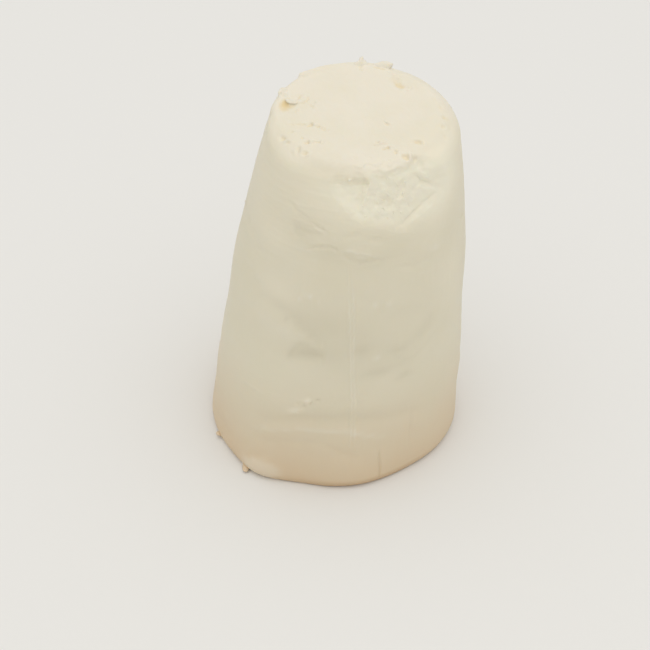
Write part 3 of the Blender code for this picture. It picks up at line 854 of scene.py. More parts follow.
@dataclass(frozen=True)
class CheeseBody:
    """The moulded body: a leaning, tapered cone with a sloping flat top and a soft shoulder."""

    base_radius: float = 50.0
    height: float = 136.0
    lean: float = 11.2
    taper: tuple[Pair, ...] = ((0, 1), (0.15, 0.966), (0.38, 0.908), (0.6, 0.842), (0.82, 0.741), (1, 0.658))
    foot_round: float = 4.5
    foot_inset: float = 0.5
    top_rise_right: float = 0.031
    top_rise_back: float = 0.129
    top_slope_growth: int = 6
    shoulder: SmoothCurve = SmoothCurve(
        (
            (-180, 4.5), (-140, 2.2), (-95, 2.8), (-58, 7.0), (-25, 5.6), (10, 4.6), (50, 8.0),
            (95, 6.5), (140, 5.5),
        ),
        turn=360.0,
    )
    rim_inset: SmoothCurve = SmoothCurve(
        ((-178, 0.4), (-150, 0.0), (40, 0.0), (75, 0.6), (100, 3.0), (125, 4.2), (150, 3.0)), turn=360.0
    )
    rim_inset_growth: int = 12
    foot_outset: SmoothCurve = SmoothCurve(
        (
            (-180, 0.0), (-84, 0.0), (-66, -0.5), (-54, -1.1), (-45, -0.8), (-37, 0.0), (-30, -0.1),
            (-22, -1.2), (-12, -1.7), (0, -0.4), (14, 0.7), (28, 0.5), (42, 0.0), (80, 0.0),
        ),
        turn=360.0,
    )
    foot_outset_fade: int = 4
    base_corners: float = 0.035
    base_corner_azimuth: float = -36.0
    base_oval: float = 0.013
    base_oval_azimuth: float = 31.7
    top_oval: float = 0.028
    top_oval_azimuth: float = -66.0
    wobble_depth: float = 0.55
    wobble_size: float = 24.0
    tear_size: float = 2.6
    tear_reach: float = 0.7
    fold_size: float = 9.0
    fold_reach: float = 0.9
    skin_size: float = 1.4
    skin_reach: float = 0.5
    # Rings that the mould's ribs left: height, half height and how far each stands out.
    rings: tuple[Triple, ...] = ((29.0, 4.0, 0.2), (34.5, 3.0, -0.15), (18.0, 4.0, -0.15))
    # How far each part faces up: the foot's edge, the bottom of the wall, its growth, the shoulder.
    foot_up: float = -0.5
    wall_up: float = 0.1
    wall_up_growth: float = 0.2
    shoulder_up: float = 0.3
    top_slopes: Pair = (0.6, 0.95)
    # Between these shares of the top's radius the wall's relief fades in.
    relief_shares: Pair = (0.8, 1.0)
    columns: int = 384
    front_crowding: float = 34.0
    front_middle: float = 10.0
    foot_rows: int = 7
    wall_rows: int = 152
    wall_crowding: SmoothCurve = SmoothCurve(
        ((0.0, 0.8), (0.22, 0.8), (0.30, 1.6), (0.38, 0.8), (0.68, 0.9), (0.80, 3.0), (1.0, 4.2))
    )
    crowding_samples: int = 512
    shoulder_rows: int = 20
    outer_rings: int = 46
    inner_rings: int = 14
    inner_share: float = 0.5
    skin_marks: SkinMarks = SkinMarks()

    def wall_radius(self) -> SmoothCurve:
        """Radius of the round wall by height, without its out-of-round."""
        stations = ((share * self.height, part * self.base_radius) for share, part in self.taper)
        return SmoothCurve(tuple(stations))

    def moulded_radius(self, azimuth: np.ndarray, height: np.ndarray) -> np.ndarray:
        """Works out the wall's radius with its soft corners and ovals.

        Args:
            azimuth: Azimuth of each column.
            height: Height at each row and column.

        Returns:
            The radius at each row and column.
        """
        share = height / self.height
        corners = self.base_corners * np.cos(np.radians(3 * (azimuth - self.base_corner_azimuth)))
        oval = self.base_oval * np.cos(np.radians(2 * (azimuth - self.base_oval_azimuth)))
        top = self.top_oval * np.cos(np.radians(2 * (azimuth - self.top_oval_azimuth)))
        drawn_in = self.rim_inset.at(azimuth) * share ** self.rim_inset_growth
        drawn_out = self.foot_outset.at(azimuth) * (1.0 - share) ** self.foot_outset_fade
        out_of_round = 1.0 + (1.0 - share) * (corners + oval) + share * top
        return self.wall_radius().at(height) * out_of_round - drawn_in + drawn_out

    def column_azimuths(self) -> np.ndarray:
        """Azimuths of the columns, closer together at the front."""
        even = 360.0 * np.arange(self.columns) / self.columns - 180.0
        return even - self.front_crowding * np.sin(np.radians(even)) + self.front_middle

    def wall_shares(self) -> np.ndarray:
        """Spaces the wall's rows, closer together where it is torn or pitted.

        Returns:
            How far up the wall each row lies, from 0 to 1.
        """
        even = np.linspace(0.0, 1.0, self.crowding_samples)
        crowded = np.cumsum(self.wall_crowding.at(even))
        crowded = (crowded - crowded[0]) / (crowded[-1] - crowded[0])
        return np.interp(np.arange(1, self.wall_rows + 1) / self.wall_rows, crowded, even)

    def rows(self, azimuth: np.ndarray) -> tuple[np.ndarray, np.ndarray, np.ndarray]:
        """Works out the rows of the foot, the wall and the shoulder.

        Args:
            azimuth: Azimuth of each column.

        Returns:
            Height, radius and how far the surface faces up, for every row and column.
        """
        level = np.ones_like(azimuth)
        turn = np.radians(90.0 * np.arange(self.foot_rows + 1) / self.foot_rows)[:, None]
        foot = self.foot_round * (1.0 - np.cos(turn)) * level
        foot_in = self.foot_inset * self.foot_round * (1.0 - np.sin(turn)) * level
        shoulder = self.shoulder.at(azimuth)[None, :]
        wall_top = self.height - shoulder
        share = self.wall_shares()[:, None]
        wall = self.foot_round + (wall_top - self.foot_round) * share
        bend = np.radians(90.0 * np.arange(1, self.shoulder_rows + 1) / self.shoulder_rows)[:, None]
        rounded = wall_top + shoulder * np.sin(bend)
        heights = np.concatenate([foot, wall, rounded])
        inset = np.concatenate([foot_in, 0.0 * wall, shoulder * (1.0 - np.cos(bend))])
        wall_up = (self.wall_up + self.wall_up_growth * share) * level
        bent_up = np.maximum(self.shoulder_up, np.sin(bend)) * level
        up = np.concatenate([self.foot_up * np.cos(turn) * level, wall_up, bent_up])
        return heights, self.moulded_radius(azimuth, heights) - inset, up

    def tilt(self, points: np.ndarray) -> np.ndarray:
        """Raises or lowers places with the slope of the top, which fades down the wall.

        Args:
            points: The places, of a cone with a level top.

        Returns:
            The places, moved.
        """
        share = points[..., 2] / self.height
        rise = self.top_rise_right * (points[..., 0] - self.lean) + self.top_rise_back * points[..., 1]
        lifted = points.copy()
        lifted[..., 2] += rise * share ** self.top_slope_growth
        return lifted

    def grid(self) -> Grid:
        """Lays out the moulded surface.

        Returns:
            The surface before any relief.
        """
        azimuth = self.column_azimuths()
        turn = np.radians(azimuth)
        heights, radii, up = self.rows(azimuth)
        middle = self.lean * heights / self.height
        wall = self.tilt(np.stack([middle + radii * np.sin(turn), -radii * np.cos(turn), heights], axis=-1))
        rim = wall[-1]
        outer = 1.0 - (1.0 - self.inner_share) * np.arange(1, self.outer_rings + 1) / self.outer_rings
        inner = self.inner_share - self.inner_share * np.arange(1, self.inner_rings) / self.inner_rings
        shares = np.concatenate([outer, inner])[:, None]
        centre = np.array([self.lean, 0.0, self.height])
        top = centre + (rim - centre) * shares[..., None]
        top[..., 2] = self.height
        top = self.tilt(top)
        up = np.concatenate([up, np.ones(top.shape[:2])])
        fading = smooth_step(*self.relief_shares, shares) * np.ones_like(azimuth)
        return Grid(
            points=np.concatenate([wall, top]),
            azimuths=np.broadcast_to(azimuth, up.shape),
            read_heights=np.concatenate([wall[..., 2], np.broadcast_to(rim[:, 2], top.shape[:2])]),
            up=up,
            reach=np.concatenate([np.ones(heights.shape), fading]),
            on_top=smooth_step(*self.top_slopes, up),
        )

    def surface(self) -> tuple[np.ndarray, Marks]:
        """Gives the moulded surface its relief.

        Returns:
            Places of the whole grid, and the marks that the finish reads.
        """
        grid = self.grid()
        points, level, on_top = grid.points, grid.points[..., 2], grid.on_top
        radius = self.wall_radius()
        round_way = np.radians(grid.azimuths) * radius.at(np.minimum(grid.read_heights, self.height))
        wall = Sheet(round_way, grid.read_heights, radius)
        top = Sheet(points[..., 0], points[..., 1])
        torn_wall = wall.ragged(points, self.tear_size, self.tear_reach)
        folded_wall = wall.ragged(points, self.fold_size, self.fold_reach)
        skin_wall = wall.ragged(points, self.skin_size, self.skin_reach)
        skin_top = top.ragged(points, self.skin_size, self.skin_reach)
        swells = total(WALL_SWELLS, wall) * grid.reach
        rings = sum(out * np.exp(-(((level - middle) / half) ** 2)) for middle, half, out in self.rings)
        relief = {
            "tear": TORN_RIM.depth_on(torn_wall) * grid.reach,
            "creases": total(TORN_CREASES, skin_wall) * grid.reach,
            "folds": PRESSED_FOLDS.depth_on(folded_wall),
            "knocks": (total(WALL_DENTS, skin_wall) + total(WALL_FURROWS, skin_wall)) * grid.reach,
            "scars": total(TOP_SCARS, skin_top) * on_top,
            "ridges": total(TOP_RIDGES, skin_top) * on_top,
            "yellow": total(YELLOW_HOLLOWS, skin_top) * on_top,
            "lip": RAISED_LIP.depth_on(top) * on_top,
            "rings": -rings,
            "wobble": self.wobble_depth * curd_noise(points, self.wobble_size) + swells,
        }
        depth = sum(relief.values()) * smooth_step(0.0, OFF_FLOOR, level)
        turn, sideways = np.radians(grid.azimuths), np.sqrt(1.0 - grid.up ** 2)
        outward = np.stack([sideways * np.sin(turn), -sideways * np.cos(turn), grid.up], axis=-1)
        return points - outward * depth[..., None], self.skin_marks.over(grid, relief, skin_wall, skin_top)

    def build(self) -> Object:
        """Makes the body as one closed mesh with its marks as point attributes.

        Returns:
            The piece.
        """
        grid, marks = self.surface()
        rows, columns = grid.shape[:2]
        peak, foot = rows * columns, rows * columns + 1
        points = np.concatenate([grid.reshape(-1, 3), [grid[-1].mean(axis=0)], [[0.0, 0.0, 0.0]]])
        flat = {mark: np.append(shares, [shares[-1].mean(), 0.0]) for mark, shares in marks.items()}
        return mesh_object("cheese_body", points, tube_faces(rows, columns, foot, peak), flat)


@dataclass(frozen=True)
class CurdGrain:
    """Fine relief of pressed curd: a soft grain, level smears from the mould and a crumbly tear."""

    grain_size: float = 2.4
    grain_depth: float = 0.04
    smear_length: float = 16.0
    smear_height: float = 2.2
    smear_depth: float = 0.08
    crumble_size: float = 3.4
    crumble_depth: float = 0.4
    crumble_share: float = 0.4
    seed: float = 4.0

    def swell(
        self, tree: NodeTree, place: Node, sizes: tuple[NodeSocket, ...], seed: NodeSocket
    ) -> Node:
        """Adds noise around zero, as deep as asked, whose swells have a width and a height.

        Args:
            tree: The geometry tree.
            place: The position.
            sizes: Width of a swell in X and Y, its height in Z, and the most that it moves the
                surface.
            seed: The noise's fourth coordinate.

        Returns:
            The node that gives the value.
        """
        width, height, depth = sizes
        sides = put(tree, "ShaderNodeCombineXYZ", {0: width, 1: width, 2: height})
        scaled = put(tree, "ShaderNodeVectorMath", {0: place, 1: sides}, operation="DIVIDE")
        settings = {"Vector": scaled, "W": seed, "Scale": 1.0, "Detail": 2.0, "Roughness": 0.5}
        wave = put(tree, "ShaderNodeTexNoise", settings, noise_dimensions="4D")
        low, high = NOISE_SPAN
        level = put(tree, "ShaderNodeMapRange", {0: wave, 1: low, 2: high, 3: -1.0, 4: 1.0})
        return put(tree, "ShaderNodeMath", {0: level, 1: depth}, operation="MULTIPLY")

    def values(self) -> dict[str, float]:
        """The tree's named inputs with their values, in metres."""
        unscaled = ("crumble_share", "seed")
        return {name: value if name in unscaled else value * MM for name, value in asdict(self).items()}

    def tree(self, material: Material) -> NodeTree:
        """Builds the geometry tree that moves every point along its normal.

        Args:
            material: What the surface is made of.

        Returns:
            The tree, with one input for each size.
        """
        tree = geometry_tree("curd_grain", self.values())
        given = put(tree, "NodeGroupInput").outputs
        place = put(tree, "GeometryNodeInputPosition")
        grain, smear, crumble = (
            self.swell(tree, place, tuple(given[name] for name in names), given["seed"])
            for names in (
                ("grain_size", "grain_size", "grain_depth"),
                ("smear_length", "smear_height", "smear_depth"),
                ("crumble_size", "crumble_size", "crumble_depth"),
            )
        )
        on_wall, torn, crumbly = (
            put(tree, "GeometryNodeInputNamedAttribute", {"Name": mark}, data_type="FLOAT")
            for mark in ("wall", "torn", "crumbly")
        )
        share = {0: torn, 1: given["crumble_share"], 2: crumbly}
        on_tear = put(tree, "ShaderNodeMath", share, operation="MULTIPLY_ADD")
        smooth = put(tree, "ShaderNodeMath", {0: smear, 1: on_wall, 2: grain}, operation="MULTIPLY_ADD")
        rough = put(tree, "ShaderNodeMath", {0: crumble, 1: on_tear, 2: smooth}, operation="MULTIPLY_ADD")
        height = put(tree, "ShaderNodeSeparateXYZ", {0: place}).outputs["Z"]
        off_floor = put(tree, "ShaderNodeMapRange", {0: height, 1: 0.0, 2: OFF_FLOOR * MM})
        reach = put(tree, "ShaderNodeMath", {0: rough, 1: off_floor}, operation="MULTIPLY")
        normal = put(tree, "GeometryNodeInputNormal")
        offset = put(tree, "ShaderNodeVectorMath", {0: normal, "Scale": reach}, operation="SCALE")
        moved = put(tree, "GeometryNodeSetPosition", {"Geometry": given["Geometry"], "Offset": offset})
        real = put(tree, "GeometryNodeRealizeInstances", {0: moved})
        dressed = put(tree, "GeometryNodeSetMaterial", {"Geometry": real, "Material": material})
        put(tree, "NodeGroupOutput", {0: dressed})
        return tree


class Moisture(Enum):
    """How moist a surface of the cheese is, as its roughness."""

    DRY_SKIN = 0.58
    MOIST_HOLLOW = 0.44


@dataclass(frozen=True)
class PressedRicotta:
    """Pressed, salted whey-cheese curd with a smooth moulded skin, torn at the rim.

    It is dense and slightly translucent, so light softens in its thin edges. The eye sees a matt
    ivory: whiter where it is freshly torn or rubbed, greyer where it is damp and in the painted
    shade of its dents and folds, yellow and darker in the deep hollows, partly as painted shade,
    and a warm tan towards the foot, which is mostly painted bounce light and shade from the board
    that it stood on, with painted contact shadow along the front of the base edge.
    """

    top_skin: str = "EEE7D6"
    # Skin of the side, a little darker and yellower than the top; part of this is painted shade of the side.
    wall_skin: str = "ECE5CF"
    cloud: str = "E7E0C7"
    # Greyer colour of damp curd, used also for painted shade in dents and folds.
    moist: str = "D9D1B9"
    rubbed: str = "F3EEDF"
    tear: str = "FFF7E2"
    # Darker yellow of deep hollows, partly painted shade.
    hollow: str = "E9D5A8"
    # Painted warm bounce light and shade towards the foot, mostly from a brown board that is not in the
    # scene, with a little stain.
    foot: str = "E1CBAB"
    # Painted contact shadow and brown reflection along the base edge.
    base_edge: str = "C9A980"
    cloud_size: float = 22.0
    cloud_span: Pair = (0.4, 0.7)
    cloud_weight: float = 0.5
    # How far up the painted warm bounce light and shade at the foot reach, fade and waver.
    foot_reach: float = 52.0
    foot_fade: float = 1.35
    foot_waver: float = 16.0
    skin_grain: float = 0.45
    grain_depth: float = 0.05
    grain_strength: float = 0.3
    refraction: float = 1.4
    shine: float = 0.35
    scatter_weight: float = 0.35
    scatter_colour: Triple = (1.0, 0.88, 0.7)
    scatter_reach: float = 0.55

    def foot_stain(self, tree: NodeTree, place: NodeSocket, clouds: Node) -> Node:
        """Adds the painted warm bounce light and shade that fade up from the foot, with a wavering edge.

        Args:
            tree: The shader tree.
            place: The object coordinates.
            clouds: The noise that its edge follows.

        Returns:
            The node that gives its share.
        """
        height = put(tree, "ShaderNodeSeparateXYZ", {0: place}).outputs["Z"]
        waver, half = self.foot_waver * MM, 0.5 * self.foot_waver * MM
        risen = put(tree, "ShaderNodeMath", {0: clouds, 1: waver, 2: height}, operation="MULTIPLY_ADD")
        low = put(tree, "ShaderNodeMapRange", {0: risen, 1: self.foot_reach * MM + half, 2: half})
        return put(tree, "ShaderNodeMath", {0: low, 1: self.foot_fade}, operation="POWER")

    def colour(
        self, tree: NodeTree, place: NodeSocket, marks: dict[str, NodeSocket]
    ) -> NodeSocket:
        """Lays the curd's colours over each other.

        Args:
            tree: The shader tree.
            place: The object coordinates.
            marks: Socket of each of the body's marks by name.

        Returns:
            The socket of the last colour.
        """
        cloud_scale = 1.0 / (self.cloud_size * MM)
        clouds = put(tree, "ShaderNodeTexNoise", {"Vector": place, "Scale": cloud_scale, "Detail": 3.0})
        low, high = self.cloud_span
        cloud_share = put(tree, "ShaderNodeMapRange", {0: clouds, 1: low, 2: high, 4: self.cloud_weight})
        layers = (
            (marks["wall"], self.wall_skin),
            (cloud_share, self.cloud),
            (marks["pale"], self.tear),
            (marks["moist"], self.moist),
            # Painted warm bounce light and shade towards the foot.
            (self.foot_stain(tree, place, clouds), self.foot),
            # Painted contact shadow and brown reflection at the base edge.
            (marks["stain"], self.base_edge),
            (marks["rubbed"], self.rubbed),
            (marks["hollow"], self.hollow),
        )
        colour = linear(self.top_skin)
        for share, code in layers:
            mix = put(tree, "ShaderNodeMix", {0: share, 6: colour, 7: linear(code)}, data_type="RGBA")
            colour = mix.outputs[2]
        return colour

    def material(self) -> Material:
        """Builds the shader, with its patterns in object coordinates and the body's own marks.

        Returns:
            The material.
        """
        material = bpy.data.materials.new("pressed_ricotta_curd")
        material.use_nodes = True
        tree = material.node_tree
        place = put(tree, "ShaderNodeTexCoord").outputs["Object"]
        marks = {
            name: put(tree, "ShaderNodeAttribute", attribute_name=name).outputs["Fac"]
            for name in ("wall", "pale", "moist", "stain", "rubbed", "hollow")
        }
        wetness = {0: marks["moist"], 3: Moisture.DRY_SKIN.value, 4: Moisture.MOIST_HOLLOW.value}
        grain_scale = 1.0 / (self.skin_grain * MM)
        grain = put(tree, "ShaderNodeTexNoise", {"Vector": place, "Scale": grain_scale, "Detail": 2.0})
        pores = {"Height": grain, "Strength": self.grain_strength, "Distance": self.grain_depth * MM}
        finish = {
            "Base Color": self.colour(tree, place, marks),
            "Roughness": put(tree, "ShaderNodeMapRange", wetness),
            "Normal": put(tree, "ShaderNodeBump", pores),
            "IOR": self.refraction,
            "Specular IOR Level": self.shine,
            "Subsurface Weight": self.scatter_weight,
            "Subsurface Radius": self.scatter_colour,
            "Subsurface Scale": self.scatter_reach * MM,
        }
        feed(tree, tree.nodes["Principled BSDF"], finish)
        return material


@dataclass(frozen=True)
class Flake:
    """A thin ragged flake that stands on the cheese.

    Its outline is drawn across and up from its foot, as it is seen from outside the cheese.
    """

    name: str
    foot: Triple
    facing: float
    lean: float
    thickness: float
    outline: tuple[Pair, ...]
    steps: int = 9
    rings: int = 9
    roughness: float = 0.22
    lump_size: float = 1.1
    lump_shifts: Triple = (3.1, 12.7, 27.9)
    paleness: float = 0.3
    # Share of painted contact shadow at the base, for a piece by the foot.
    stain: float = 0.0

    def mesh(self) -> tuple[np.ndarray, Faces]:
        """Makes the closed flake from rings that shrink from its edge to its middle, front and back.

        Returns:
            Its places and its faces.
        """
        drawn = np.array(self.outline + self.outline[:1])
        share = (np.arange(self.steps) / self.steps)[:, None]
        edge = np.concatenate([a + (b - a) * share for a, b in zip(drawn, drawn[1:])])
        middle, half, count = edge.mean(axis=0), 0.5 * self.thickness, len(edge)
        sizes = [ring / self.rings for ring in range(self.rings, 0, -1)]
        spots = [middle + (edge - middle) * size for size in sizes]
        rise = [half * math.sqrt(1.0 - size ** 2) for size in sizes]
        front = [np.column_stack([flat, np.full(count, deep)]) for flat, deep in zip(spots, rise)]
        back = [ring * (1.0, 1.0, -1.0) for ring in front[1:]]
        local = np.concatenate([*front, [[*middle, half]], *back, [[*middle, -half]]])
        local = local + self.roughness * lumps(local + np.array(self.foot), self.lump_size, self.lump_shifts)
        turn, tip_over = math.radians(self.facing), math.radians(self.lean)
        outward = np.array([math.sin(turn), -math.cos(turn), 0.0])
        across = np.array([math.cos(turn), math.sin(turn), 0.0])
        upward = np.array([0.0, 0.0, 1.0]) * math.cos(tip_over) + outward * math.sin(tip_over)
        axes = np.stack([across, upward, np.cross(across, upward)])
        return np.array(self.foot) + local @ axes, self.faces(count)

    def faces(self, count: int) -> Faces:
        """Lists the flake's faces.

        Args:
            count: How many points a ring has.

        Returns:
            Vertex numbers of each face.
        """
        peak, under = self.rings * count, (2 * self.rings - 1) * count + 1
        front = [ring * count for ring in range(self.rings)]
        rear = [0] + [peak + 1 + ring * count for ring in range(self.rings - 1)]
        faces = []
        for starts, tip, step in ((front, peak, 1), (rear, under, -1)):
            for spot in range(count):
                beside = (spot + 1) % count
                loops = [(a + spot, a + beside, b + beside, b + spot) for a, b in zip(starts, starts[1:])]
                loops.append((starts[-1] + spot, starts[-1] + beside, tip))
                faces += [loop[::step] for loop in loops]
        return faces


@dataclass(frozen=True)
class Shred:
    """A thin ribbon of curd that curls off the surface, swept along its path."""

    name: str
    path: tuple[Triple, ...]
    half_width: float
    half_thickness: float
    stations: int = 26
    sides: int = 14
    tip_share: float = 0.25
    tip_inset: float = 0.04
    tip_fullness: float = 0.6
    roughness: float = 0.14
    lump_size: float = 0.9
    lump_shifts: Triple = (5.3, 14.9, 33.1)
    paleness: float = 0.0
    # Share of painted contact shadow at the base, for a piece by the foot.
    stain: float = 0.0

    def mesh(self) -> tuple[np.ndarray, Faces]:
        """Sweeps the ribbon's oval section along the path, thinner at both ends.

        Returns:
            Its places and its faces.
        """
        spots = np.linspace(0.0, len(self.path) - 1.0, self.stations)
        axes = [SmoothCurve(tuple(enumerate(values))).at(spots) for values in zip(*self.path)]
        line = np.stack(axes, axis=-1)
        way = np.gradient(line, axis=0)
        way /= np.linalg.norm(way, axis=1, keepdims=True)
        side = np.cross(way, [0.0, 0.0, 1.0])
        side /= np.linalg.norm(side, axis=1, keepdims=True)
        over = np.cross(side, way)
        swell = np.sin(np.pi * np.linspace(self.tip_inset, 1.0 - self.tip_inset, self.stations))
        taper = (self.tip_share + (1.0 - self.tip_share) * swell ** self.tip_fullness)[:, None, None]
        turn = (2.0 * np.pi * np.arange(self.sides) / self.sides)[None, :, None]
        wide, thick = self.half_width * np.cos(turn), self.half_thickness * np.sin(turn)
        ring = wide * side[:, None] + thick * over[:, None]
        body = (line[:, None] + ring * taper).reshape(-1, 3)
        places = np.concatenate([body, line[:1], line[-1:]])
        places += self.roughness * lumps(places, self.lump_size, self.lump_shifts)
        return places, tube_faces(self.stations, self.sides, len(body), len(body) + 1)


SCRAPS = (
    Flake(
        "rim_spike", (10.0, 27.6, 138.5), 182, 42, 1.6,
        (
            (3.2, -2.4), (3.1, 0.7), (2.4, 1.6), (0.9, 2.3), (0.5, 3.6), (-0.7, 4.1), (-0.9, 2.9),
            (-1.9, 2.0), (-2.8, 0.8), (-3.4, -2.4),
        ),
        roughness=0.12,
    ),
    Flake(
        "rim_lip", (17.6, 26.2, 138.1), 168, 40, 1.7,
        (
            (4.2, -2.4), (3.8, 1.8), (1.8, 2.6), (0.2, 3.4), (-1.9, 3.3), (-3.5, 2.8), (-3.2, 1.4),
            (-2.4, 0.3), (-2.3, -2.4),
        ),
        roughness=0.14,
    ),
    Flake(
        "left_flake", (-17.2, 12.0, 135.6), 236, 42, 1.5,
        (
            (3.8, -2.0), (3.5, 0.2), (2.8, 0.9), (2.2, 2.0), (0.3, 2.8), (-0.9, 2.5), (-2.2, 1.9),
            (-3.6, 0.9), (-4.0, -2.0),
        ),
        roughness=0.14,
    ),
    Flake(
        "foot_tab", (-32.1, -36.8, 0.9), 0, 90, 1.5,
        (
            (1.3, -1.0), (1.35, 2.2), (1.2, 3.9), (0.5, 4.8), (-0.5, 4.7), (-1.1, 3.9), (-1.3, 2.6),
            (-1.35, -1.0),
        ),
        # The foot tab gets some painted contact shadow.
        roughness=0.14, paleness=0.12, stain=0.2,
    ),
    Flake(
        "foot_crumb", (-43.6, -21.2, 1.6), -62, 66, 1.3,
        ((1.3, -1.2), (1.1, 0.9), (0.3, 1.5), (-0.8, 1.2), (-1.4, 0.4), (-1.4, -1.2)),
        roughness=0.14, paleness=0.1,
    ),
    Shred(
        "notch_curl",
        (
            (-16.8, 8.8, 135.7), (-16.0, 7.0, 136.0), (-14.8, 5.8, 135.95), (-13.2, 5.7, 135.95),
            (-12.2, 6.9, 135.95),
        ),
        0.8, 0.45,
    ),
    Shred("gouge_flap", ((25.0, 10.4, 137.4), (26.4, 11.2, 138.0), (27.0, 13.2, 137.7)), 0.6, 0.35),
)


@dataclass(frozen=True)
class Scraps:
    """The flakes and shreds that stand off the rim and the foot, made one with the body."""

    scraps: tuple[Flake | Shred, ...] = SCRAPS
    weld: float = 0.01

    def fuse(self, body: Object) -> None:
        """Joins every scrap to the body in one union.

        Args:
            body: The piece that they stand on.
        """
        holder = bpy.data.collections.new("scraps")
        for scrap in self.scraps:
            places, faces = scrap.mesh()
            # Each scrap's paleness and painted contact shadow at the base.
            marks = {"rubbed": scrap.paleness, "stain": scrap.stain}
            shares = {mark: np.full(len(places), share) for mark, share in marks.items()}
            piece = mesh_object(scrap.name, places, faces, shares)
            shape = bmesh.new()
            shape.from_mesh(piece.data)
            bmesh.ops.remove_doubles(shape, verts=shape.verts, dist=self.weld * MM)
            bmesh.ops.recalc_face_normals(shape, faces=shape.faces)
            shape.to_mesh(piece.data)
            shape.free()
            holder.objects.link(piece)
        union = body.modifiers.new("fuse", "BOOLEAN")
        union.operation, union.operand_type = "UNION", "COLLECTION"
        union.collection, union.solver = holder, "MANIFOLD"
        settle(body)
        for piece in list(holder.objects):
            bpy.data.objects.remove(piece)
        bpy.data.collections.remove(holder)
        LOG.info("fused %d scraps", len(self.scraps))


@dataclass(frozen=True)
class CurdCrumbs:
    """Small crumbs of curd that cling to the torn place, as many to a square millimetre as density."""

    density: float = 0.24
    smallest: float = 0.15
    largest: float = 0.4
    lumpiness: float = 0.5
    lumps_across: float = 1.6
    roundness: int = 3
    least_squash: Triple = (0.6, 0.6, 0.5)
    most_squash: Triple = (1.3, 1.1, 0.9)
    seed: int = 11
    turn_seed: int = 5
    squash_seed: int = 8

    def values(self) -> dict[str, float]:
        """The tree's named inputs with their values, in metres."""
        sizes = {"Smallest": self.smallest * MM, "Largest": self.largest * MM}
        return {"Density": self.density / MM ** 2, **sizes, "Lumpiness": self.lumpiness, "Seed": self.seed}

    def lump(self, tree: NodeTree, lumpiness: NodeSocket) -> Node:
        """Adds one lumpy crumb of radius 1.

        Args:
            tree: The geometry tree.
            lumpiness: How far its surface swells and shrinks.

        Returns:
            The node that gives its geometry.
        """
        ball = put(tree, "GeometryNodeMeshIcoSphere", {"Radius": 1.0, "Subdivisions": self.roundness})
        place = put(tree, "GeometryNodeInputPosition")
        wave = put(tree, "ShaderNodeTexNoise", {"Vector": place, "Scale": self.lumps_across, "Detail": 1.0})
        level = put(tree, "ShaderNodeMath", {0: wave, 1: sum(NOISE_SPAN) / 2}, operation="SUBTRACT")
        reach = put(tree, "ShaderNodeMath", {0: level, 1: lumpiness}, operation="MULTIPLY")
        bulge = put(tree, "ShaderNodeVectorMath", {0: place, "Scale": reach}, operation="SCALE")
        return put(tree, "GeometryNodeSetPosition", {"Geometry": ball, "Offset": bulge})

    def tree(self, ground: Object, material: Material) -> NodeTree:
        """Builds the geometry tree that strews crumbs over the ground's crumbly mark.

        Args:
            ground: The piece that they cling to.
            material: What they are made of.

        Returns:
            The tree, with named inputs for its sizes.
        """
        tree = geometry_tree("curd_crumbs", self.values())
        given = put(tree, "NodeGroupInput").outputs
        land = put(tree, "GeometryNodeObjectInfo", {"Object": ground}).outputs["Geometry"]
        crumbly = put(tree, "GeometryNodeInputNamedAttribute", {"Name": "crumbly"}, data_type="FLOAT")
        density = put(tree, "ShaderNodeMath", {0: crumbly, 1: given["Density"]}, operation="MULTIPLY")
        spread = {"Mesh": land, "Density": density, "Seed": given["Seed"]}
        strewn = put(tree, "GeometryNodeDistributePointsOnFaces", spread)
        sizes = {2: given["Smallest"], 3: given["Largest"], "Seed": given["Seed"]}
        size = put(tree, "FunctionNodeRandomValue", sizes, data_type="FLOAT").outputs[1]
        turns = {1: (math.tau, math.tau, math.tau), "Seed": self.turn_seed}
        turn = put(tree, "FunctionNodeRandomValue", turns, data_type="FLOAT_VECTOR")
        sides = {0: self.least_squash, 1: self.most_squash, "Seed": self.squash_seed}
        squash = put(tree, "FunctionNodeRandomValue", sides, data_type="FLOAT_VECTOR")
        scale = put(tree, "ShaderNodeVectorMath", {0: squash, "Scale": size}, operation="SCALE")
        lump = self.lump(tree, given["Lumpiness"])
        laid = {"Points": strewn, "Instance": lump, "Rotation": turn, "Scale": scale}
        crumbs = put(tree, "GeometryNodeInstanceOnPoints", laid)
        real = put(tree, "GeometryNodeRealizeInstances", {0: crumbs})
        pale = {"Geometry": real, "Name": "pale", "Value": 1.0}
        marked = put(tree, "GeometryNodeStoreNamedAttribute", pale, data_type="FLOAT", domain="POINT")
        smooth = put(tree, "GeometryNodeSetShadeSmooth", {0: marked})
        dressed = put(tree, "GeometryNodeSetMaterial", {"Geometry": smooth, "Material": material})
        put(tree, "NodeGroupOutput", {0: dressed})
        return tree

    def build(self, ground: Object, material: Material) -> Object:
        """Makes the crumbs.

        Args:
            ground: The piece that they cling to.
            material: What they are made of.

        Returns:
            The crumbs as one piece.
        """
        piece = mesh_object("curd_crumbs", np.zeros((3, 3)), [])
        grow(piece, self.tree(ground, material), self.values())
        return piece


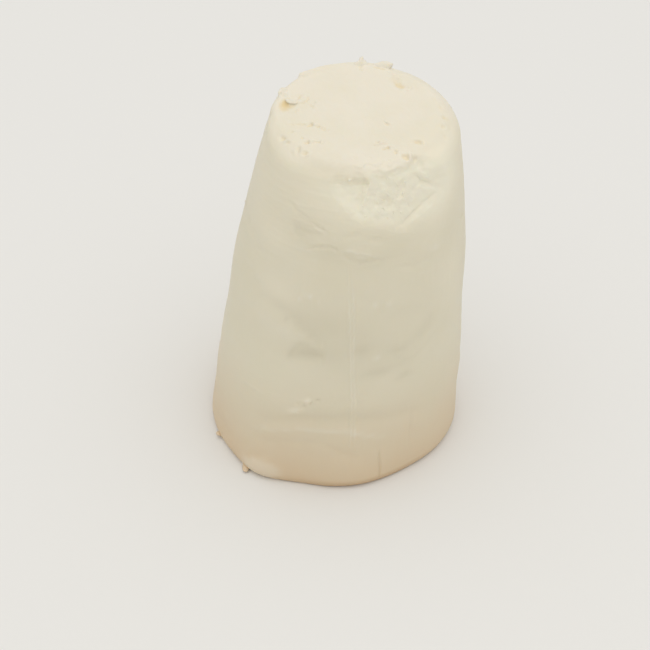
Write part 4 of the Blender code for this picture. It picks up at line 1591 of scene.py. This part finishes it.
@dataclass(frozen=True)
class Studio:
    """Pale floor, soft even light from above, and the camera."""

    camera_place: Triple = (-2.0, -395.9, 361.6)
    pitch_down: float = 39.02
    roll: float = -0.68
    lens: float = 72.0
    sensor: float = 36.0
    clip_metres: Pair = (0.01, 60.0)
    floor_half_side: float = 12000.0
    floor_colour: str = "EBEAE7"
    floor_roughness: float = 0.9
    floor_shine: float = 0.1
    sky_colour: str = "FCFCFD"
    sky_strength: float = 0.42
    lamp_colour: str = "FFFDF8"
    lamp_strength: float = 1.75
    lamp_spread: float = 105.0
    lamp_tilt: float = 5.0
    lamp_azimuth: float = 20.0

    def camera(self) -> None:
        """Places the camera, looking along +Y and down, at the photograph's angle."""
        data = bpy.data.cameras.new("camera")
        data.lens, data.sensor_width = self.lens, self.sensor
        data.clip_start, data.clip_end = self.clip_metres
        item = bpy.data.objects.new("camera", data)
        bpy.context.scene.collection.objects.link(item)
        tip = Matrix.Rotation(math.radians(90.0 - self.pitch_down), 4, "X")
        roll = Matrix.Rotation(math.radians(-self.roll), 4, "Z")
        item.matrix_world = Matrix.Translation([side * MM for side in self.camera_place]) @ tip @ roll
        bpy.context.scene.camera = item

    def floor(self) -> None:
        """Lays a plain pale floor at the cheese's base."""
        side = self.floor_half_side
        corners = np.array([(-side, -side, 0.0), (side, -side, 0.0), (side, side, 0.0), (-side, side, 0.0)])
        floor = mesh_object("floor", corners, [(0, 1, 2, 3)])
        material = bpy.data.materials.new("pale_floor")
        material.use_nodes = True
        tree = material.node_tree
        finish = {"Roughness": self.floor_roughness, "Specular IOR Level": self.floor_shine}
        feed(tree, tree.nodes["Principled BSDF"], {"Base Color": linear(self.floor_colour), **finish})
        floor.data.materials.append(material)

    def light(self) -> None:
        """Sets up an even sky and one very wide lamp from above and a little in front."""
        world = bpy.data.worlds.new("studio")
        world.use_nodes = True
        tree = world.node_tree
        sky = {"Color": linear(self.sky_colour), "Strength": self.sky_strength}
        feed(tree, tree.nodes["Background"], sky)
        bpy.context.scene.world = world
        data = bpy.data.lights.new("wide_lamp", "SUN")
        data.energy, data.angle = self.lamp_strength, math.radians(self.lamp_spread)
        data.color = linear(self.lamp_colour)[:3]
        item = bpy.data.objects.new("wide_lamp", data)
        turn = Matrix.Rotation(math.radians(self.lamp_azimuth), 4, "Z")
        item.matrix_world = turn @ Matrix.Rotation(math.radians(self.lamp_tilt), 4, "X")
        bpy.context.scene.collection.objects.link(item)

    def build(self) -> None:
        """Sets up the whole studio."""
        bpy.context.scene.view_settings.view_transform = "Standard"
        self.camera()
        self.floor()
        self.light()
        LOG.info("studio: floor, sky and one wide lamp")


def main() -> None:
    """Builds the studio and every piece of the cheese, in order."""
    logging.basicConfig(level=logging.INFO, format="%(name)s %(message)s")
    Studio().build()
    curd = PressedRicotta().material()
    body = CheeseBody().build()
    Scraps().fuse(body)
    grain = CurdGrain()
    grow(body, grain.tree(curd), grain.values())
    declare(body, NODE)
    declare(CurdCrumbs().build(body, curd))


if __name__ == "__main__":
    main()
